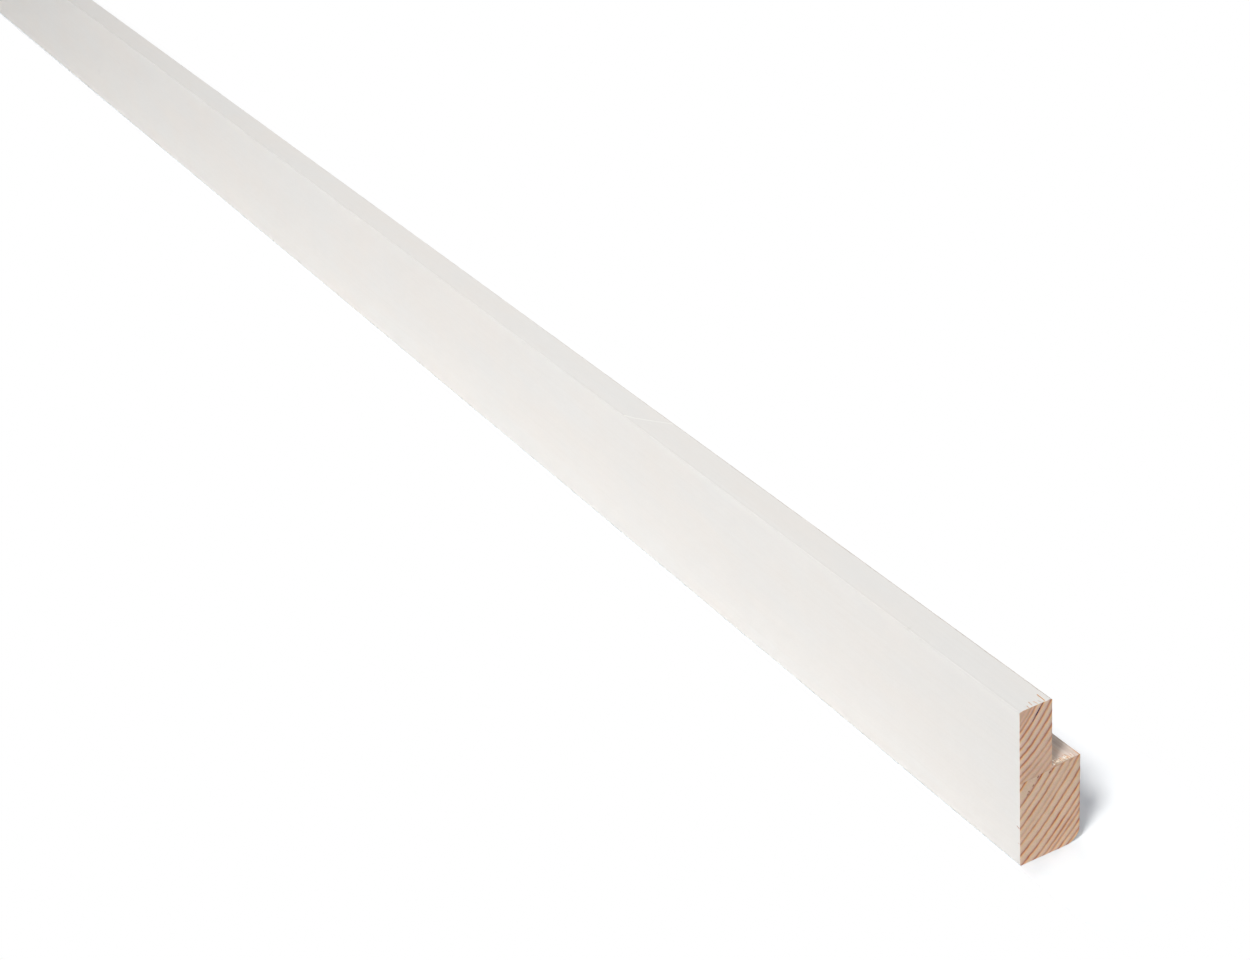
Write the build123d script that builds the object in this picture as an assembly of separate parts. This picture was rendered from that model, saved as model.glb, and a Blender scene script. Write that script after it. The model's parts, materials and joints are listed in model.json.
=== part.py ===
from build123d import *
import os

# Reveal lining board: one length of planed and primed softwood with a rebate along its back.
# It stands on its bottom edge. X runs along the length, the show face looks towards -Y and Z is up.
# The origin is the middle of the bounding box's bottom face.

# Overall sizes, in millimetres
board_length = 2400.0
board_thickness = 18.0
board_height = 45.0

# The rebate is cut out of the top of the back. What is left in front of it is the tongue.
tongue_thickness = 9.5
rebate_height = 19.5

# Edges: the bottom of the back is rounded, and the other planed edges are only eased
back_edge_radius = 4.0
planed_edge_radius = 0.4

# The show face's top edge is sanded soft: the top face falls gently before it turns over
soft_edge_width = 2.6
soft_edge_drop = 0.3
soft_edge_radius = 0.6

# The faces that those sizes place
show_face = -board_thickness / 2
back_face = board_thickness / 2
tongue_back = show_face + tongue_thickness
rebate_floor = board_height - rebate_height


def section_outline():
    """The board's cross section, seen along its length: each corner with its rounding radius."""
    corners = [
        ((show_face, 0), planed_edge_radius),
        ((back_face, 0), back_edge_radius),
        ((back_face, rebate_floor), planed_edge_radius),
        ((tongue_back, rebate_floor), 0),
        ((tongue_back, board_height), planed_edge_radius),
        ((show_face + soft_edge_width, board_height), 0),
        ((show_face, board_height - soft_edge_drop), soft_edge_radius),
    ]
    points = [point for point, radius in corners]
    radii = [radius for point, radius in corners]
    return make_face(FilletPolyline(*points, radius=radii, close=True))


# The section is run out both ways from the middle of the length and sawn square at both ends
lining_board = extrude(Plane.YZ * section_outline(), amount=board_length / 2, both=True)

os.makedirs("parts", exist_ok=True)
export_step(lining_board, "parts/lining_board.step")
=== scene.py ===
"""The finished look of a reveal lining board: primed softwood with a rebate, sawn square at both ends."""
import json
import logging
import math
from dataclasses import dataclass
from enum import Enum
from typing import Any, Iterable

import bpy
import numpy as np
from bpy.types import Material, Mesh, Node, NodeTree, Object
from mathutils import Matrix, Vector
from mathutils.geometry import delaunay_2d_cdt


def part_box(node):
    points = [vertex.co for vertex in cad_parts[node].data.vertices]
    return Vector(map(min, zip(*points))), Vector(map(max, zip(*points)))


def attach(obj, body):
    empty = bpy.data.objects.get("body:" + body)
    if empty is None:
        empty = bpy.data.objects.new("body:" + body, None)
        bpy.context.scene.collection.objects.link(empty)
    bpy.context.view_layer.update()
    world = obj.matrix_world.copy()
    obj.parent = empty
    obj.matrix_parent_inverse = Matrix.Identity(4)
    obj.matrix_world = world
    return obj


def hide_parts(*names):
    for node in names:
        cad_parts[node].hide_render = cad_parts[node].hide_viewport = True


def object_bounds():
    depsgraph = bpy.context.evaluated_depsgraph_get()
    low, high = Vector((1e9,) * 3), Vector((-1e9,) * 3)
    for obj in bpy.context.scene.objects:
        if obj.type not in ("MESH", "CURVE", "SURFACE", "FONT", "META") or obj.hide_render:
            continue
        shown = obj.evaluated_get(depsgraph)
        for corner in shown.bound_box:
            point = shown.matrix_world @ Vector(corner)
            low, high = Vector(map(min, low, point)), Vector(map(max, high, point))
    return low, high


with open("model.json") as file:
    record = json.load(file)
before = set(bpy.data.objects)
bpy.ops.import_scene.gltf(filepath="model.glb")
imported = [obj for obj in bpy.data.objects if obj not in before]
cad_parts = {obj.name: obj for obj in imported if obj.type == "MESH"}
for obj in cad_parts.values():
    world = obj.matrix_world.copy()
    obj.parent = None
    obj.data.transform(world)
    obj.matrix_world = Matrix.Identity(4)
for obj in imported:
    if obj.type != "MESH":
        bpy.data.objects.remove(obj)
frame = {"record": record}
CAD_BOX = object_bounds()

log = logging.getLogger("lining_board")

NODE = "lining_board"
BODY = "root"
MM = 0.001

# A place is along, across and up the board, a spot is across and up its section, and a span is a range
Triple = tuple[float, float, float]
Pair = tuple[float, float]
Colour = Triple
Place = Triple
Spot = Pair
Span = Pair
Array = np.ndarray
Socket = bpy.types.NodeSocket


def paint(red: float, green: float, blue: float) -> Colour:
    """Turns a colour as a screen shows it, 0 to 255 a channel, into linear light."""
    channels = (red / 255, green / 255, blue / 255)
    return tuple(c / 12.92 if c <= 0.04045 else ((c + 0.055) / 1.055) ** 2.4 for c in channels)


def smooth(value: Array) -> Array:
    """Eases values from 0 to 1, level at both ends."""
    held = np.clip(value, 0.0, 1.0)
    return held * held * (3 - 2 * held)


def placed(name: str, data: Any) -> Object:
    """Puts a new object in the scene, made from its mesh, lamp or camera."""
    piece = bpy.data.objects.new(name, data)
    bpy.context.scene.collection.objects.link(piece)
    return piece


def finished_piece(name: str, mesh: Mesh, materials: Iterable[Material]) -> Object:
    """Puts a mesh in place as a piece of the board.

    Args:
        name: the piece's name.
        mesh: its mesh, where the piece belongs on the board.
        materials: its finishes, in the order of the mesh's slots.

    Returns:
        The piece, which rides on the board's body.
    """
    piece = placed(name, mesh)
    for material in materials:
        mesh.materials.append(material)
    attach(piece, BODY)
    log.info("%s: %d points, %d faces", name, len(mesh.vertices), len(mesh.polygons))
    return piece


class Face(Enum):
    """The board's finishes, in the order of its material slots."""

    PRIMED = 0
    WASHED = 1
    SAWN = 2


class End(Enum):
    """The board's two sawn ends, each with the way that it looks along the length."""

    NEAR = 1
    FAR = -1


class Side(Enum):
    """The sides that a mark can be on, each with the axes that lie in it."""

    TOP = (1.0, 1.0, 0.0)
    SHOW = (1.0, 0.0, 1.0)
    END = (0.0, 1.0, 1.0)


@dataclass(frozen=True)
class Streak:
    """A narrow straight mark in the surface, in millimetres."""

    # The side of the board that it is on
    side: Side
    # Its ends, along, across and up the board
    start: Place
    end: Place
    # From its middle to its edge
    half_width: float
    # How far its middle is sunk into the wood
    depth: float
    # How much its colour shows, from 0 to 1
    strength: float = 1.0

    # How far out a mark's banks reach, in half widths
    BANKS = 1.6

    def distance(self, points: Array) -> Array:
        """Measures how far points lie from the mark's middle line.

        Args:
            points: array of places, in metres, in its last axis.

        Returns:
            The distance of each point, in millimetres.
        """
        spots = points / MM
        start = np.array(self.start)
        line = np.array(self.end) - start
        share = np.clip((spots - start) @ line / (line @ line), 0.0, 1.0)
        return np.linalg.norm(spots - start - share[..., None] * line, axis=-1)

    def sinking(self, points: Array) -> Array:
        """Gives how far each point is pushed into the wood, in metres."""
        return self.depth * MM * smooth(self.BANKS - self.distance(points) / self.half_width)


@dataclass(frozen=True)
class GrowthRings:
    """The growth rings of one of the two laths that the stock was glued up from, in millimetres."""

    # Where the rings are centred, across and up
    pith: Spot
    # Radius of each dark latewood line
    radii: tuple[float, ...]
    # How dark each line is, from 0 to 1
    strengths: tuple[float, ...]
    # How brown the wood round each line is, from 0 to 1
    browning: tuple[float, ...]
    # The pale wood between the lines
    earlywood: Colour
    # Distance between lines outside those radii
    spacing: float = 2.0

    @property
    def span(self) -> float:
        """The distance from the first line to the last, in millimetres."""
        return self.radii[-1] - self.radii[0]

    @property
    def places(self) -> list[float]:
        """Where each line lies between the first and the last, from 0 to 1."""
        return [(radius - self.radii[0]) / self.span for radius in self.radii]

    def gaps(self) -> list[Pair]:
        """Lists the distance between neighbouring lines, in millimetres, half-way between them."""
        pairs = list(zip(self.radii, self.radii[1:]))
        return [((low + high - 2 * self.radii[0]) / 2 / self.span, high - low) for low, high in pairs]

    def age(self, across: Array, up: Array) -> Array:
        """Counts the rings out to each point: a whole number on every latewood line."""
        radius = np.hypot(across - self.pith[0], up - self.pith[1])
        return np.interp(radius, self.radii, np.arange(len(self.radii)))

    def strength(self, across: Array, up: Array) -> Array:
        """Gives how dark the nearest latewood line is, from 0 to 1."""
        radius = np.hypot(across - self.pith[0], up - self.pith[1])
        return np.interp(radius, self.radii, self.strengths)


TONGUE_RINGS = GrowthRings(
    pith=(-33.2, 64.5),
    radii=(32.7, 33.9, 34.9, 36.6, 38.7, 40.7, 42.9, 45.2, 46.8, 48.7, 50.3),
    strengths=(0.1, 0.4, 0.65, 0.85, 0.85, 0.88, 0.85, 0.65, 0.45, 0.3, 0.4),
    browning=(0.8, 0.4, 0.1, 0.0, 0.0, 0.0, 0.1, 0.4, 0.5, 0.45, 0.45),
    earlywood=paint(237, 210, 188),
)
BODY_RINGS = GrowthRings(
    pith=(-85.8, 94.6),
    radii=(105.3, 108.8, 111.2, 113.4, 115.4, 116.9, 119.5, 122.1, 124.4, 126.3, 127.6, 129.4, 131.2),
    strengths=(1.0, 0.9, 0.65, 0.85, 0.25, 0.75, 0.82, 0.98, 0.88, 0.78, 0.65, 0.9, 0.9),
    browning=(0.3, 0.1, 0.0, 0.2, 0.3, 0.1, 0.2, 0.1, 0.1, 0.2, 0.1, 0.0, 0.1),
    earlywood=paint(235, 208, 183),
)


@dataclass(frozen=True)
class GlueLine:
    """The joint between the two laths, a straight line across the section."""

    # Its height in the middle of the board's thickness, in millimetres
    height: float = 24.9
    # How much it rises for each millimetre across
    slope: float = 0.07

    def above(self, across: Array, up: Array) -> Array:
        """Gives the height of points above the joint, negative below it, in millimetres."""
        return up - self.height - self.slope * across


GLUE_LINE = GlueLine()

# Where the saw lifted the primer off the edges of both ends
NEAR_TOP_CHIPS = (
    Streak(Side.TOP, (1196.6, -1.30, 45.0), (1199.5, -1.38, 45.0), 0.15, 0.08, 0.9),
    Streak(Side.TOP, (1198.7, -2.70, 45.0), (1199.6, -2.45, 45.0), 0.14, 0.04, 0.4),
    Streak(Side.TOP, (1198.3, -3.75, 45.0), (1199.5, -3.45, 45.0), 0.15, 0.05, 0.6),
    Streak(Side.TOP, (1197.9, -4.81, 45.0), (1199.3, -4.93, 45.0), 0.14, 0.05, 0.65),
    Streak(Side.TOP, (1198.9, -6.06, 45.0), (1199.8, -6.15, 45.0), 0.15, 0.06, 0.65),
)
NEAR_SHOW_CHIPS = (
    Streak(Side.SHOW, (1198.8, -9.0, 11.3), (1199.6, -9.0, 11.1), 0.16, 0.08, 0.7),
    Streak(Side.SHOW, (1199.2, -9.0, 6.5), (1199.6, -9.0, 6.5), 0.12, 0.05, 0.35),
)
FAR_TOP_CHIPS = (
    Streak(Side.TOP, (-1200.0, -7.1, 44.8), (-1198.2, -7.1, 44.8), 0.15, 0.05, 0.5),
    Streak(Side.TOP, (-1200.0, -5.3, 45.0), (-1197.1, -5.3, 45.0), 0.16, 0.08, 0.8),
    Streak(Side.TOP, (-1200.0, -2.4, 45.0), (-1198.6, -2.4, 45.0), 0.12, 0.05, 0.4),
)
FAR_SHOW_CHIPS = (
    Streak(Side.SHOW, (-1200.0, -9.0, 31.5), (-1199.0, -9.0, 31.6), 0.18, 0.06, 0.6),
    Streak(Side.SHOW, (-1200.0, -9.0, 17.0), (-1199.2, -9.0, 17.0), 0.15, 0.05, 0.4),
)
CHIPS = (*NEAR_TOP_CHIPS, *NEAR_SHOW_CHIPS, *FAR_TOP_CHIPS, *FAR_SHOW_CHIPS)
# A fine light scratch that runs from the show face's arris over the top
SCRATCH = (
    Streak(Side.TOP, (1009.2, -8.6, 44.7), (1013.0, -7.04, 45.0), 0.24, 0.05),
    Streak(Side.TOP, (1013.0, -7.04, 45.0), (1018.1, -3.75, 45.0), 0.25, 0.05),
    Streak(Side.TOP, (1018.1, -3.75, 45.0), (1023.5, 0.0, 45.0), 0.20, 0.03),
)
# A faint dent in the show face, and a grey nick below its arris
DENT = Streak(Side.SHOW, (1047.8, -9.0, 19.1), (1049.2, -9.0, 19.1), 0.7, 0.04)
NICK = (
    Streak(Side.SHOW, (1155.0, -9.0, 44.6), (1155.6, -9.0, 44.6), 0.3, 0.02, 0.3),
    Streak(Side.SHOW, (1153.9, -9.0, 44.5), (1157.2, -9.0, 44.5), 0.14, 0.01, 0.15),
)
# A drying check along one latewood line, and specks of resin, both in the near end's grain
CHECK = (
    Streak(Side.END, (1200.0, -5.20, 40.85), (1200.0, -4.10, 42.45), 0.15, 0.01, 0.75),
    Streak(Side.END, (1200.0, -4.25, 42.25), (1200.0, -3.15, 43.75), 0.20, 0.01),
    Streak(Side.END, (1200.0, -3.30, 43.55), (1200.0, -2.10, 45.15), 0.14, 0.01, 0.6),
)
SPECKS = (
    Streak(Side.END, (1200.0, -6.35, 21.1), (1200.0, -6.25, 20.9), 0.22, 0.05),
    Streak(Side.END, (1200.0, -6.75, 20.3), (1200.0, -6.6, 20.5), 0.18, 0.05),
    Streak(Side.END, (1200.0, -5.1, 22.2), (1200.0, -4.95, 22.4), 0.20, 0.05),
    Streak(Side.END, (1200.0, -0.2, 24.0), (1200.0, 0.0, 24.2), 0.26, 0.05),
    Streak(Side.END, (1200.0, -3.7, 24.1), (1200.0, -3.5, 24.3), 0.26, 0.05),
)


@dataclass(frozen=True)
class Corner:
    """One corner of the cross section, and the straight side that follows it, in metres."""

    # Where the corner is, across and up
    spot: Array
    # Its rounding radius, 0 where it is sharp
    radius: float
    # How many facets round it
    steps: int
    # Distance between points along the side that follows
    spacing: float
    # What that side is finished with
    finish: Face


@dataclass(frozen=True)
class Rim:
    """The cross section as a closed ring, anticlockwise as seen from the near end, in metres."""

    # Array of places across and up
    points: Array
    # Array of unit directions into the wood
    inward: Array
    # What each side, from its point to the next, is finished with
    finishes: list[Face]
    # Distance round the ring to each point, and then the whole way round
    run: Array


@dataclass
class RebatedSection:
    """The board's cross section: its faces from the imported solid, and its roundings, in metres."""

    # Where the show face and the back are, across
    front: float
    back: float
    # The height of the top edge
    top: float
    # Where the back of the tongue is, across
    tongue_back: float
    # The height of the rebate's floor
    rebate_floor: float
    # Rounding of the bottom of the back
    back_radius: float = 4.0 * MM
    # Easing of the planed edges
    edge_radius: float = 0.4 * MM
    # Easing of the rebate's outer arris
    outer_radius: float = 0.15 * MM
    # How far the top's soft arris reaches in from the show face, and falls
    soft_width: float = 2.6 * MM
    soft_drop: float = 0.21 * MM
    # A place on its curve: how far in from the show face and how far down
    soft_middle: Spot = (1.2 * MM, 0.065 * MM)
    # How it turns over into the show face
    soft_radius: float = 0.3 * MM
    # Facets of an eased edge, of the back's rounding and of that turn
    edge_steps: int = 4
    back_steps: int = 12
    soft_steps: int = 8
    # Distance between points at marks, on the tongue's back and on large faces
    fine: float = 0.25 * MM
    middling: float = 0.7 * MM
    coarse: float = 2.2 * MM
    # How far in from an arris its wear is centred, in millimetres
    wear_inset: float = 0.1

    @classmethod
    def from_frame(cls) -> "RebatedSection":
        """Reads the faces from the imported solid's box and its flat mounts."""
        low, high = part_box(NODE)
        mounts = {mount["name"]: mount["pos_m"] for mount in frame["record"]["mounts"]}
        return cls(low.y, high.y, high.z, mounts["tongue_back"][1], mounts["rebate_floor"][2])

    def arris(self, across: float, up: float) -> Spot:
        """Gives where an arris's wear is centred, in millimetres."""
        return across / MM - self.wear_inset, up / MM - self.wear_inset

    def corners(self) -> list[Corner]:
        """Lists the corners, from the bottom of the show face round by the back."""
        soft_end = self.front + self.soft_width
        soft_start = self.top - self.soft_drop
        middle = (self.front + self.soft_middle[0], self.top - self.soft_middle[1])
        rows = [
            ((self.front, 0.0), self.edge_radius, self.edge_steps, self.coarse, Face.WASHED),
            ((self.back, 0.0), self.back_radius, self.back_steps, self.coarse, Face.WASHED),
            ((self.back, self.rebate_floor), self.outer_radius, self.edge_steps, self.fine, Face.WASHED),
            ((self.tongue_back, self.rebate_floor), 0.0, 0, self.middling, Face.WASHED),
            ((self.tongue_back, self.top), self.edge_radius, self.edge_steps, self.fine, Face.PRIMED),
            ((soft_end, self.top), 0.0, 0, self.fine, Face.PRIMED),
            (middle, 0.0, 0, self.fine, Face.PRIMED),
            ((self.front, soft_start), self.soft_radius, self.soft_steps, self.coarse, Face.PRIMED),
        ]
        return [Corner(np.array(spot), *rest) for spot, *rest in rows]

    @staticmethod
    def rounding(before: Corner, corner: Corner, after: Corner) -> Array:
        """Rounds one corner.

        Args:
            before: the corner before it.
            corner: the corner to round.
            after: the corner after it.

        Returns:
            The points of its arc, or the corner itself where it is sharp.
        """
        arrive = (corner.spot - before.spot) / np.linalg.norm(corner.spot - before.spot)
        leave = (after.spot - corner.spot) / np.linalg.norm(after.spot - corner.spot)
        turn = math.atan2(arrive[0] * leave[1] - arrive[1] * leave[0], arrive @ leave)
        left = np.array([-arrive[1], arrive[0]])
        start = corner.spot - arrive * corner.radius * math.tan(abs(turn) / 2)
        centre = start + left * corner.radius
        angles = np.linspace(0.0, turn, corner.steps + 1)[:, None]
        return centre + corner.radius * (np.sin(angles) * arrive - np.cos(angles) * left)

    def rim(self) -> Rim:
        """Builds the ring of points that the board is lofted through."""
        corners = self.corners()
        following = corners[1:] + corners[:1]
        leading = corners[-1:] + corners[:-1]
        arcs = [self.rounding(*three) for three in zip(leading, corners, following)]
        points: list[Array] = []
        finishes: list[Face] = []
        for k, corner in enumerate(corners):
            goal = arcs[(k + 1) % len(corners)][0]
            start = arcs[k][-1]
            pieces = max(1, round(float(np.linalg.norm(goal - start)) / corner.spacing))
            points.extend(arcs[k])
            points.extend(start + (goal - start) * step / pieces for step in range(1, pieces))
            finishes.extend([leading[k].finish] * (corner.steps // 2))
            finishes.extend([corner.finish] * (corner.steps - corner.steps // 2 + pieces))
        ring = np.array(points)
        ahead = np.roll(ring, -1, axis=0)
        along = ahead - np.roll(ring, 1, axis=0)
        along /= np.linalg.norm(along, axis=1, keepdims=True)
        run = np.concatenate([[0.0], np.cumsum(np.linalg.norm(ahead - ring, axis=1))])
        return Rim(ring, np.stack([-along[:, 1], along[:, 0]], axis=1), finishes, run)


@dataclass(frozen=True)
class SawnEnd:
    """One sawn end: the mesh inside its ring, and what the saw left on it, mostly in millimetres."""

    # Which end of the board it is
    end: End
    # What is sunk into it
    marks: tuple[Streak, ...] = ()
    # Distance between its points, and the least from them to the ring, in metres
    grid: float = 0.36 * MM
    clearance: float = 0.2 * MM
    # Centre of the saw's sweep, across and up
    saw_centre: Spot = (70.0, -95.0)
    # Distance between the saw's marks, and their depth
    saw_pitch: float = 1.9
    saw_depth: float = 0.012
    # How far those marks stray, in radians, and over what length
    saw_waver: Pair = (1.3, 5.1)
    # How far the soft earlywood lies behind the latewood lines
    earlywood_depth: float = 0.03
    # How wide a latewood line stands out, in shares of a ring
    line_width: float = 0.22
    # How far the rim is broken back, and how far in that reaches, in metres
    break_depth: float = 0.09
    break_reach: float = 0.45 * MM
    # How much of that depth it has on average
    break_share: float = 0.5
    # What makes it uneven: strength, and radians a millimetre across and up
    ripples: tuple[Triple, ...] = ((0.3, 4.1, 2.3), (0.2, -3.2, 9.7))

    # For the triangles: fill only the ring, and how near points count as one
    FILL_RING = 1
    SAME_SPOT = 1e-5
    # A rise that stands for none, in metres
    NO_RISE = 1e-12

    def mesh(self, ring: Array) -> tuple[Array, list[tuple[int, int, int]]]:
        """Fills the ring with an even net of triangles.

        Args:
            ring: the ring's points, in metres across and up.

        Returns:
            The points inside the ring, and triangles anticlockwise that count the ring's points first.
        """
        low, high = ring.min(axis=0), ring.max(axis=0)
        across = np.arange(low[0], high[0], self.grid)
        up = np.arange(low[1], high[1], self.grid * math.sqrt(3) / 2)
        shift = np.where(np.arange(len(up)) % 2, self.grid / 2, 0.0)
        net = np.stack(np.meshgrid(across, up), axis=-1)
        net[..., 0] += shift[:, None]
        inside = net.reshape(-1, 2)
        inside = inside[self._inside(inside, ring)]
        spots = [Vector((x / MM, z / MM)) for x, z in np.concatenate([ring, inside])]
        outline = [list(range(len(ring)))]
        found = delaunay_2d_cdt(spots, [], outline, self.FILL_RING, self.SAME_SPOT)
        source = [origins[0] for origins in found[3]]
        return inside, [tuple(source[k] for k in triangle) for triangle in found[2]]

    def _inside(self, spots: Array, ring: Array) -> Array:
        """Finds which spots lie inside the ring, clear of it.

        Args:
            spots: places across and up, in metres.
            ring: the ring's points, in metres.

        Returns:
            Whether each spot does.
        """
        ahead = np.roll(ring, -1, axis=0)
        side = ahead - ring
        offset = spots[:, None, :] - ring[None]
        share = np.clip((offset * side).sum(-1) / (side * side).sum(-1), 0.0, 1.0)
        near = np.linalg.norm(offset - share[..., None] * side, axis=-1).min(axis=1)
        straddles = (ring[None, :, 1] > spots[:, None, 1]) != (ahead[None, :, 1] > spots[:, None, 1])
        rise = np.where(side[:, 1] == 0, self.NO_RISE, side[:, 1])
        crossing = ring[:, 0] + side[:, 0] * (spots[:, None, 1] - ring[:, 1]) / rise
        crossed = (straddles & (spots[:, None, 0] < crossing)).sum(axis=1) % 2 == 1
        return crossed & (near > self.clearance)

    def recess(self, spots: Array, edge_distance: Array) -> Array:
        """Gives how far each point of the sawn face lies inside the board's end.

        Args:
            spots: places across and up, in metres.
            edge_distance: distance of each from the ring, in metres.

        Returns:
            The recess of each point, in metres.
        """
        across, up = spots[:, 0] / MM, spots[:, 1] / MM
        upper = GLUE_LINE.above(across, up) > 0
        age = np.where(upper, TONGUE_RINGS.age(across, up), BODY_RINGS.age(across, up))
        strength = np.where(upper, TONGUE_RINGS.strength(across, up), BODY_RINGS.strength(across, up))
        line = 1 - smooth(np.abs(age - np.round(age)) / self.line_width)
        swing = np.hypot(across - self.saw_centre[0], up - self.saw_centre[1])
        strayed, length = self.saw_waver
        wave = 0.5 + 0.5 * np.sin(2 * math.pi * swing / self.saw_pitch + strayed * np.sin(swing / length))
        ragged = self.break_share
        for share, turn_across, turn_up in self.ripples:
            ragged = ragged + share * np.sin(across * turn_across + up * turn_up)
        broken = (1 - smooth(edge_distance / self.break_reach)) * ragged
        depth = self.saw_depth * wave + self.earlywood_depth * (1 - line * strength)
        return (depth + self.break_depth * broken) * MM


@dataclass
class BakeLayout:
    """Lays the board's faces out on one square sheet, for looks that are baked to images.

    The sides are cut into equal lengths that lie one above the other, and the two ends lie above them.
    """

    # The whole way round the section, in metres
    girth: float
    # The board's length, in metres
    length: float
    # Into how many pieces the sides are cut
    lengths: int = 4
    # Gap round each piece, as a share of the sheet
    margin: float = 0.006
    # Size of the ends on the sheet, in shares of it for a metre
    end_scale: float = 7.4
    # Where the far end starts on the sheet
    far_start: float = 0.5

    @property
    def scale(self) -> float:
        """The size of the sides on the sheet, in shares of it for a metre."""
        return (1 - 2 * self.margin) / (self.length / self.lengths)

    def sides(self, share: Array, run: Array) -> Array:
        """Places points of the sides.

        Args:
            share: how far each point is along its own piece of the length, from 0 to 1, and which piece.
            run: distance of each point round the section, in metres.

        Returns:
            The points' places on the sheet.
        """
        pitch = self.girth * self.scale + self.margin
        across = self.margin + share[..., 0] * (1 - 2 * self.margin)
        return np.stack([across, self.margin + share[..., 1] * pitch + run * self.scale], axis=-1)

    def end_face(self, spots: Array, end: End) -> Array:
        """Places points of a sawn end, lying on its side above the pieces of the length.

        Args:
            spots: the points' places across and up, in metres.
            end: which end it is.

        Returns:
            The points' places on the sheet.
        """
        base = self.margin + self.lengths * (self.girth * self.scale + self.margin)
        start = self.margin if end is End.NEAR else self.far_start
        along = start + spots[:, 1] * self.end_scale
        return np.stack([along, base + (spots[:, 0] - spots[:, 0].min()) * self.end_scale], axis=-1)


@dataclass
class PrimedBoard:
    """The whole board: a loft of its section along the length, closed by two sawn ends, in metres."""

    section: RebatedSection
    half_length: float
    # What its ends are like
    near_end: SawnEnd = SawnEnd(End.NEAR, marks=(*CHECK, *SPECKS))
    far_end: SawnEnd = SawnEnd(End.FAR, saw_centre=(-80.0, -60.0))
    # Distance between sections where nothing happens
    plain_step: float = 8.0 * MM
    # That distance in the last stretch before the near end
    near_step: float = 4.0 * MM
    # That distance at thin marks, at the dent and the far end, and at the near end's cut
    mark_step: float = 0.45 * MM
    dent_step: float = 0.5 * MM
    cut_step: float = 0.3 * MM
    # The least distance between sections, and to how many decimals of a metre they are placed
    least_step: float = 0.1 * MM
    decimals: int = 7
    # From where to where along the board each mark reaches
    scratch_span: Span = (1.007, 1.025)
    dent_span: Span = (1.0475, 1.0495)
    nick_span: Span = (1.153, 1.158)
    # How far in from the near end the primer is chipped
    chipped: float = 0.012
    # How far in from both ends the sections are closest
    cut: float = 0.005
    # How far the hand-sanded arris strays, and how far round it
    arris_wander: float = 0.07 * MM
    arris_reach: float = 1.8 * MM
    # What it strays by: strength, radians a metre and where it starts, in radians
    arris_waves: tuple[Triple, ...] = ((1.0, 41.0, 0.6), (0.7, 97.0, 2.1), (0.4, 233.0, 0.0))
    # How far back it lies on average, and how much of the waves it takes
    wander_middle: Pair = (0.5, 0.24)
    # From which angle between faces an edge is sharp, in degrees
    sharp_angle: float = 34.0

    def stations(self) -> Array:
        """Lists where the sections stand along the board, close together where there is more to show."""
        end = self.half_length
        stops = [
            (-end, self.dent_step),
            (-end + self.cut, self.plain_step),
            (self.scratch_span[0], self.mark_step),
            (self.scratch_span[1], self.plain_step),
            (self.dent_span[0], self.dent_step),
            (self.dent_span[1], self.plain_step),
            (self.nick_span[0], self.mark_step),
            (self.nick_span[1], self.near_step),
            (end - self.chipped, self.mark_step),
            (end - self.cut, self.cut_step),
            (end, 0.0),
        ]
        places = [np.linspace(-end, end, BakeLayout.lengths + 1)]
        for (start, step), (goal, _) in zip(stops, stops[1:]):
            places.append(np.linspace(start, goal, max(2, round((goal - start) / step) + 1)))
        every = np.unique(np.round(np.concatenate(places), self.decimals))
        kept = np.concatenate([[True], np.diff(every) > self.least_step])
        return every[kept]

    def wander(self, along: Array) -> Array:
        """Gives how far the show face's soft arris is sanded back, in metres."""
        wave = sum(share * np.sin(along * pace + start) for share, pace, start in self.arris_waves)
        return self.arris_wander * (self.wander_middle[0] + self.wander_middle[1] * wave)

    def surface(self, rim: Rim, along: Array) -> Array:
        """Lofts the section and sinks the marks into it.

        Args:
            rim: the section's ring.
            along: where the sections stand, in metres.

        Returns:
            Array of points by section, place in the ring and axis.
        """
        points = np.empty((len(along), len(rim.points), 3))
        points[..., 0] = along[:, None]
        points[..., 1:] = rim.points[None]
        arris = np.array([self.section.front, self.section.top])
        reach = np.linalg.norm(rim.points - arris, axis=1)
        sunk = self.wander(along)[:, None] * (1 - smooth(reach / self.arris_reach))[None]
        for mark in (*CHIPS, *SCRATCH, *NICK, DENT):
            sunk = sunk + mark.sinking(points)
        points[..., 1:] += sunk[..., None] * rim.inward[None]
        return points

    def mesh(self) -> Mesh:
        """Builds the closed mesh with its finishes and its sheet layout."""
        rim = self.section.rim()
        along = self.stations()
        points = self.surface(rim, along)
        sections, ring_size = points.shape[:2]
        layout = BakeLayout(rim.run[-1], 2 * self.half_length)
        faces, finishes, sheet = self._sides(rim, along, layout)
        vertices = [points.reshape(-1, 3)]
        count = sections * ring_size
        for sawn, row in ((self.far_end, 0), (self.near_end, sections - 1)):
            face, triangles = self._cap(sawn, points[row])
            numbers = [*range(row * ring_size, (row + 1) * ring_size), *range(count, count + len(face))]
            places = layout.end_face(np.concatenate([points[row, :, 1:], face[:, 1:]]), sawn.end)
            for triangle in triangles:
                order = triangle if sawn.end is End.NEAR else triangle[::-1]
                faces.append([numbers[k] for k in order])
                finishes.append(Face.SAWN)
                sheet.extend(places[k] for k in order)
            vertices.append(face)
            count += len(face)
        return self._finished(np.concatenate(vertices), faces, finishes, np.array(sheet))

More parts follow.
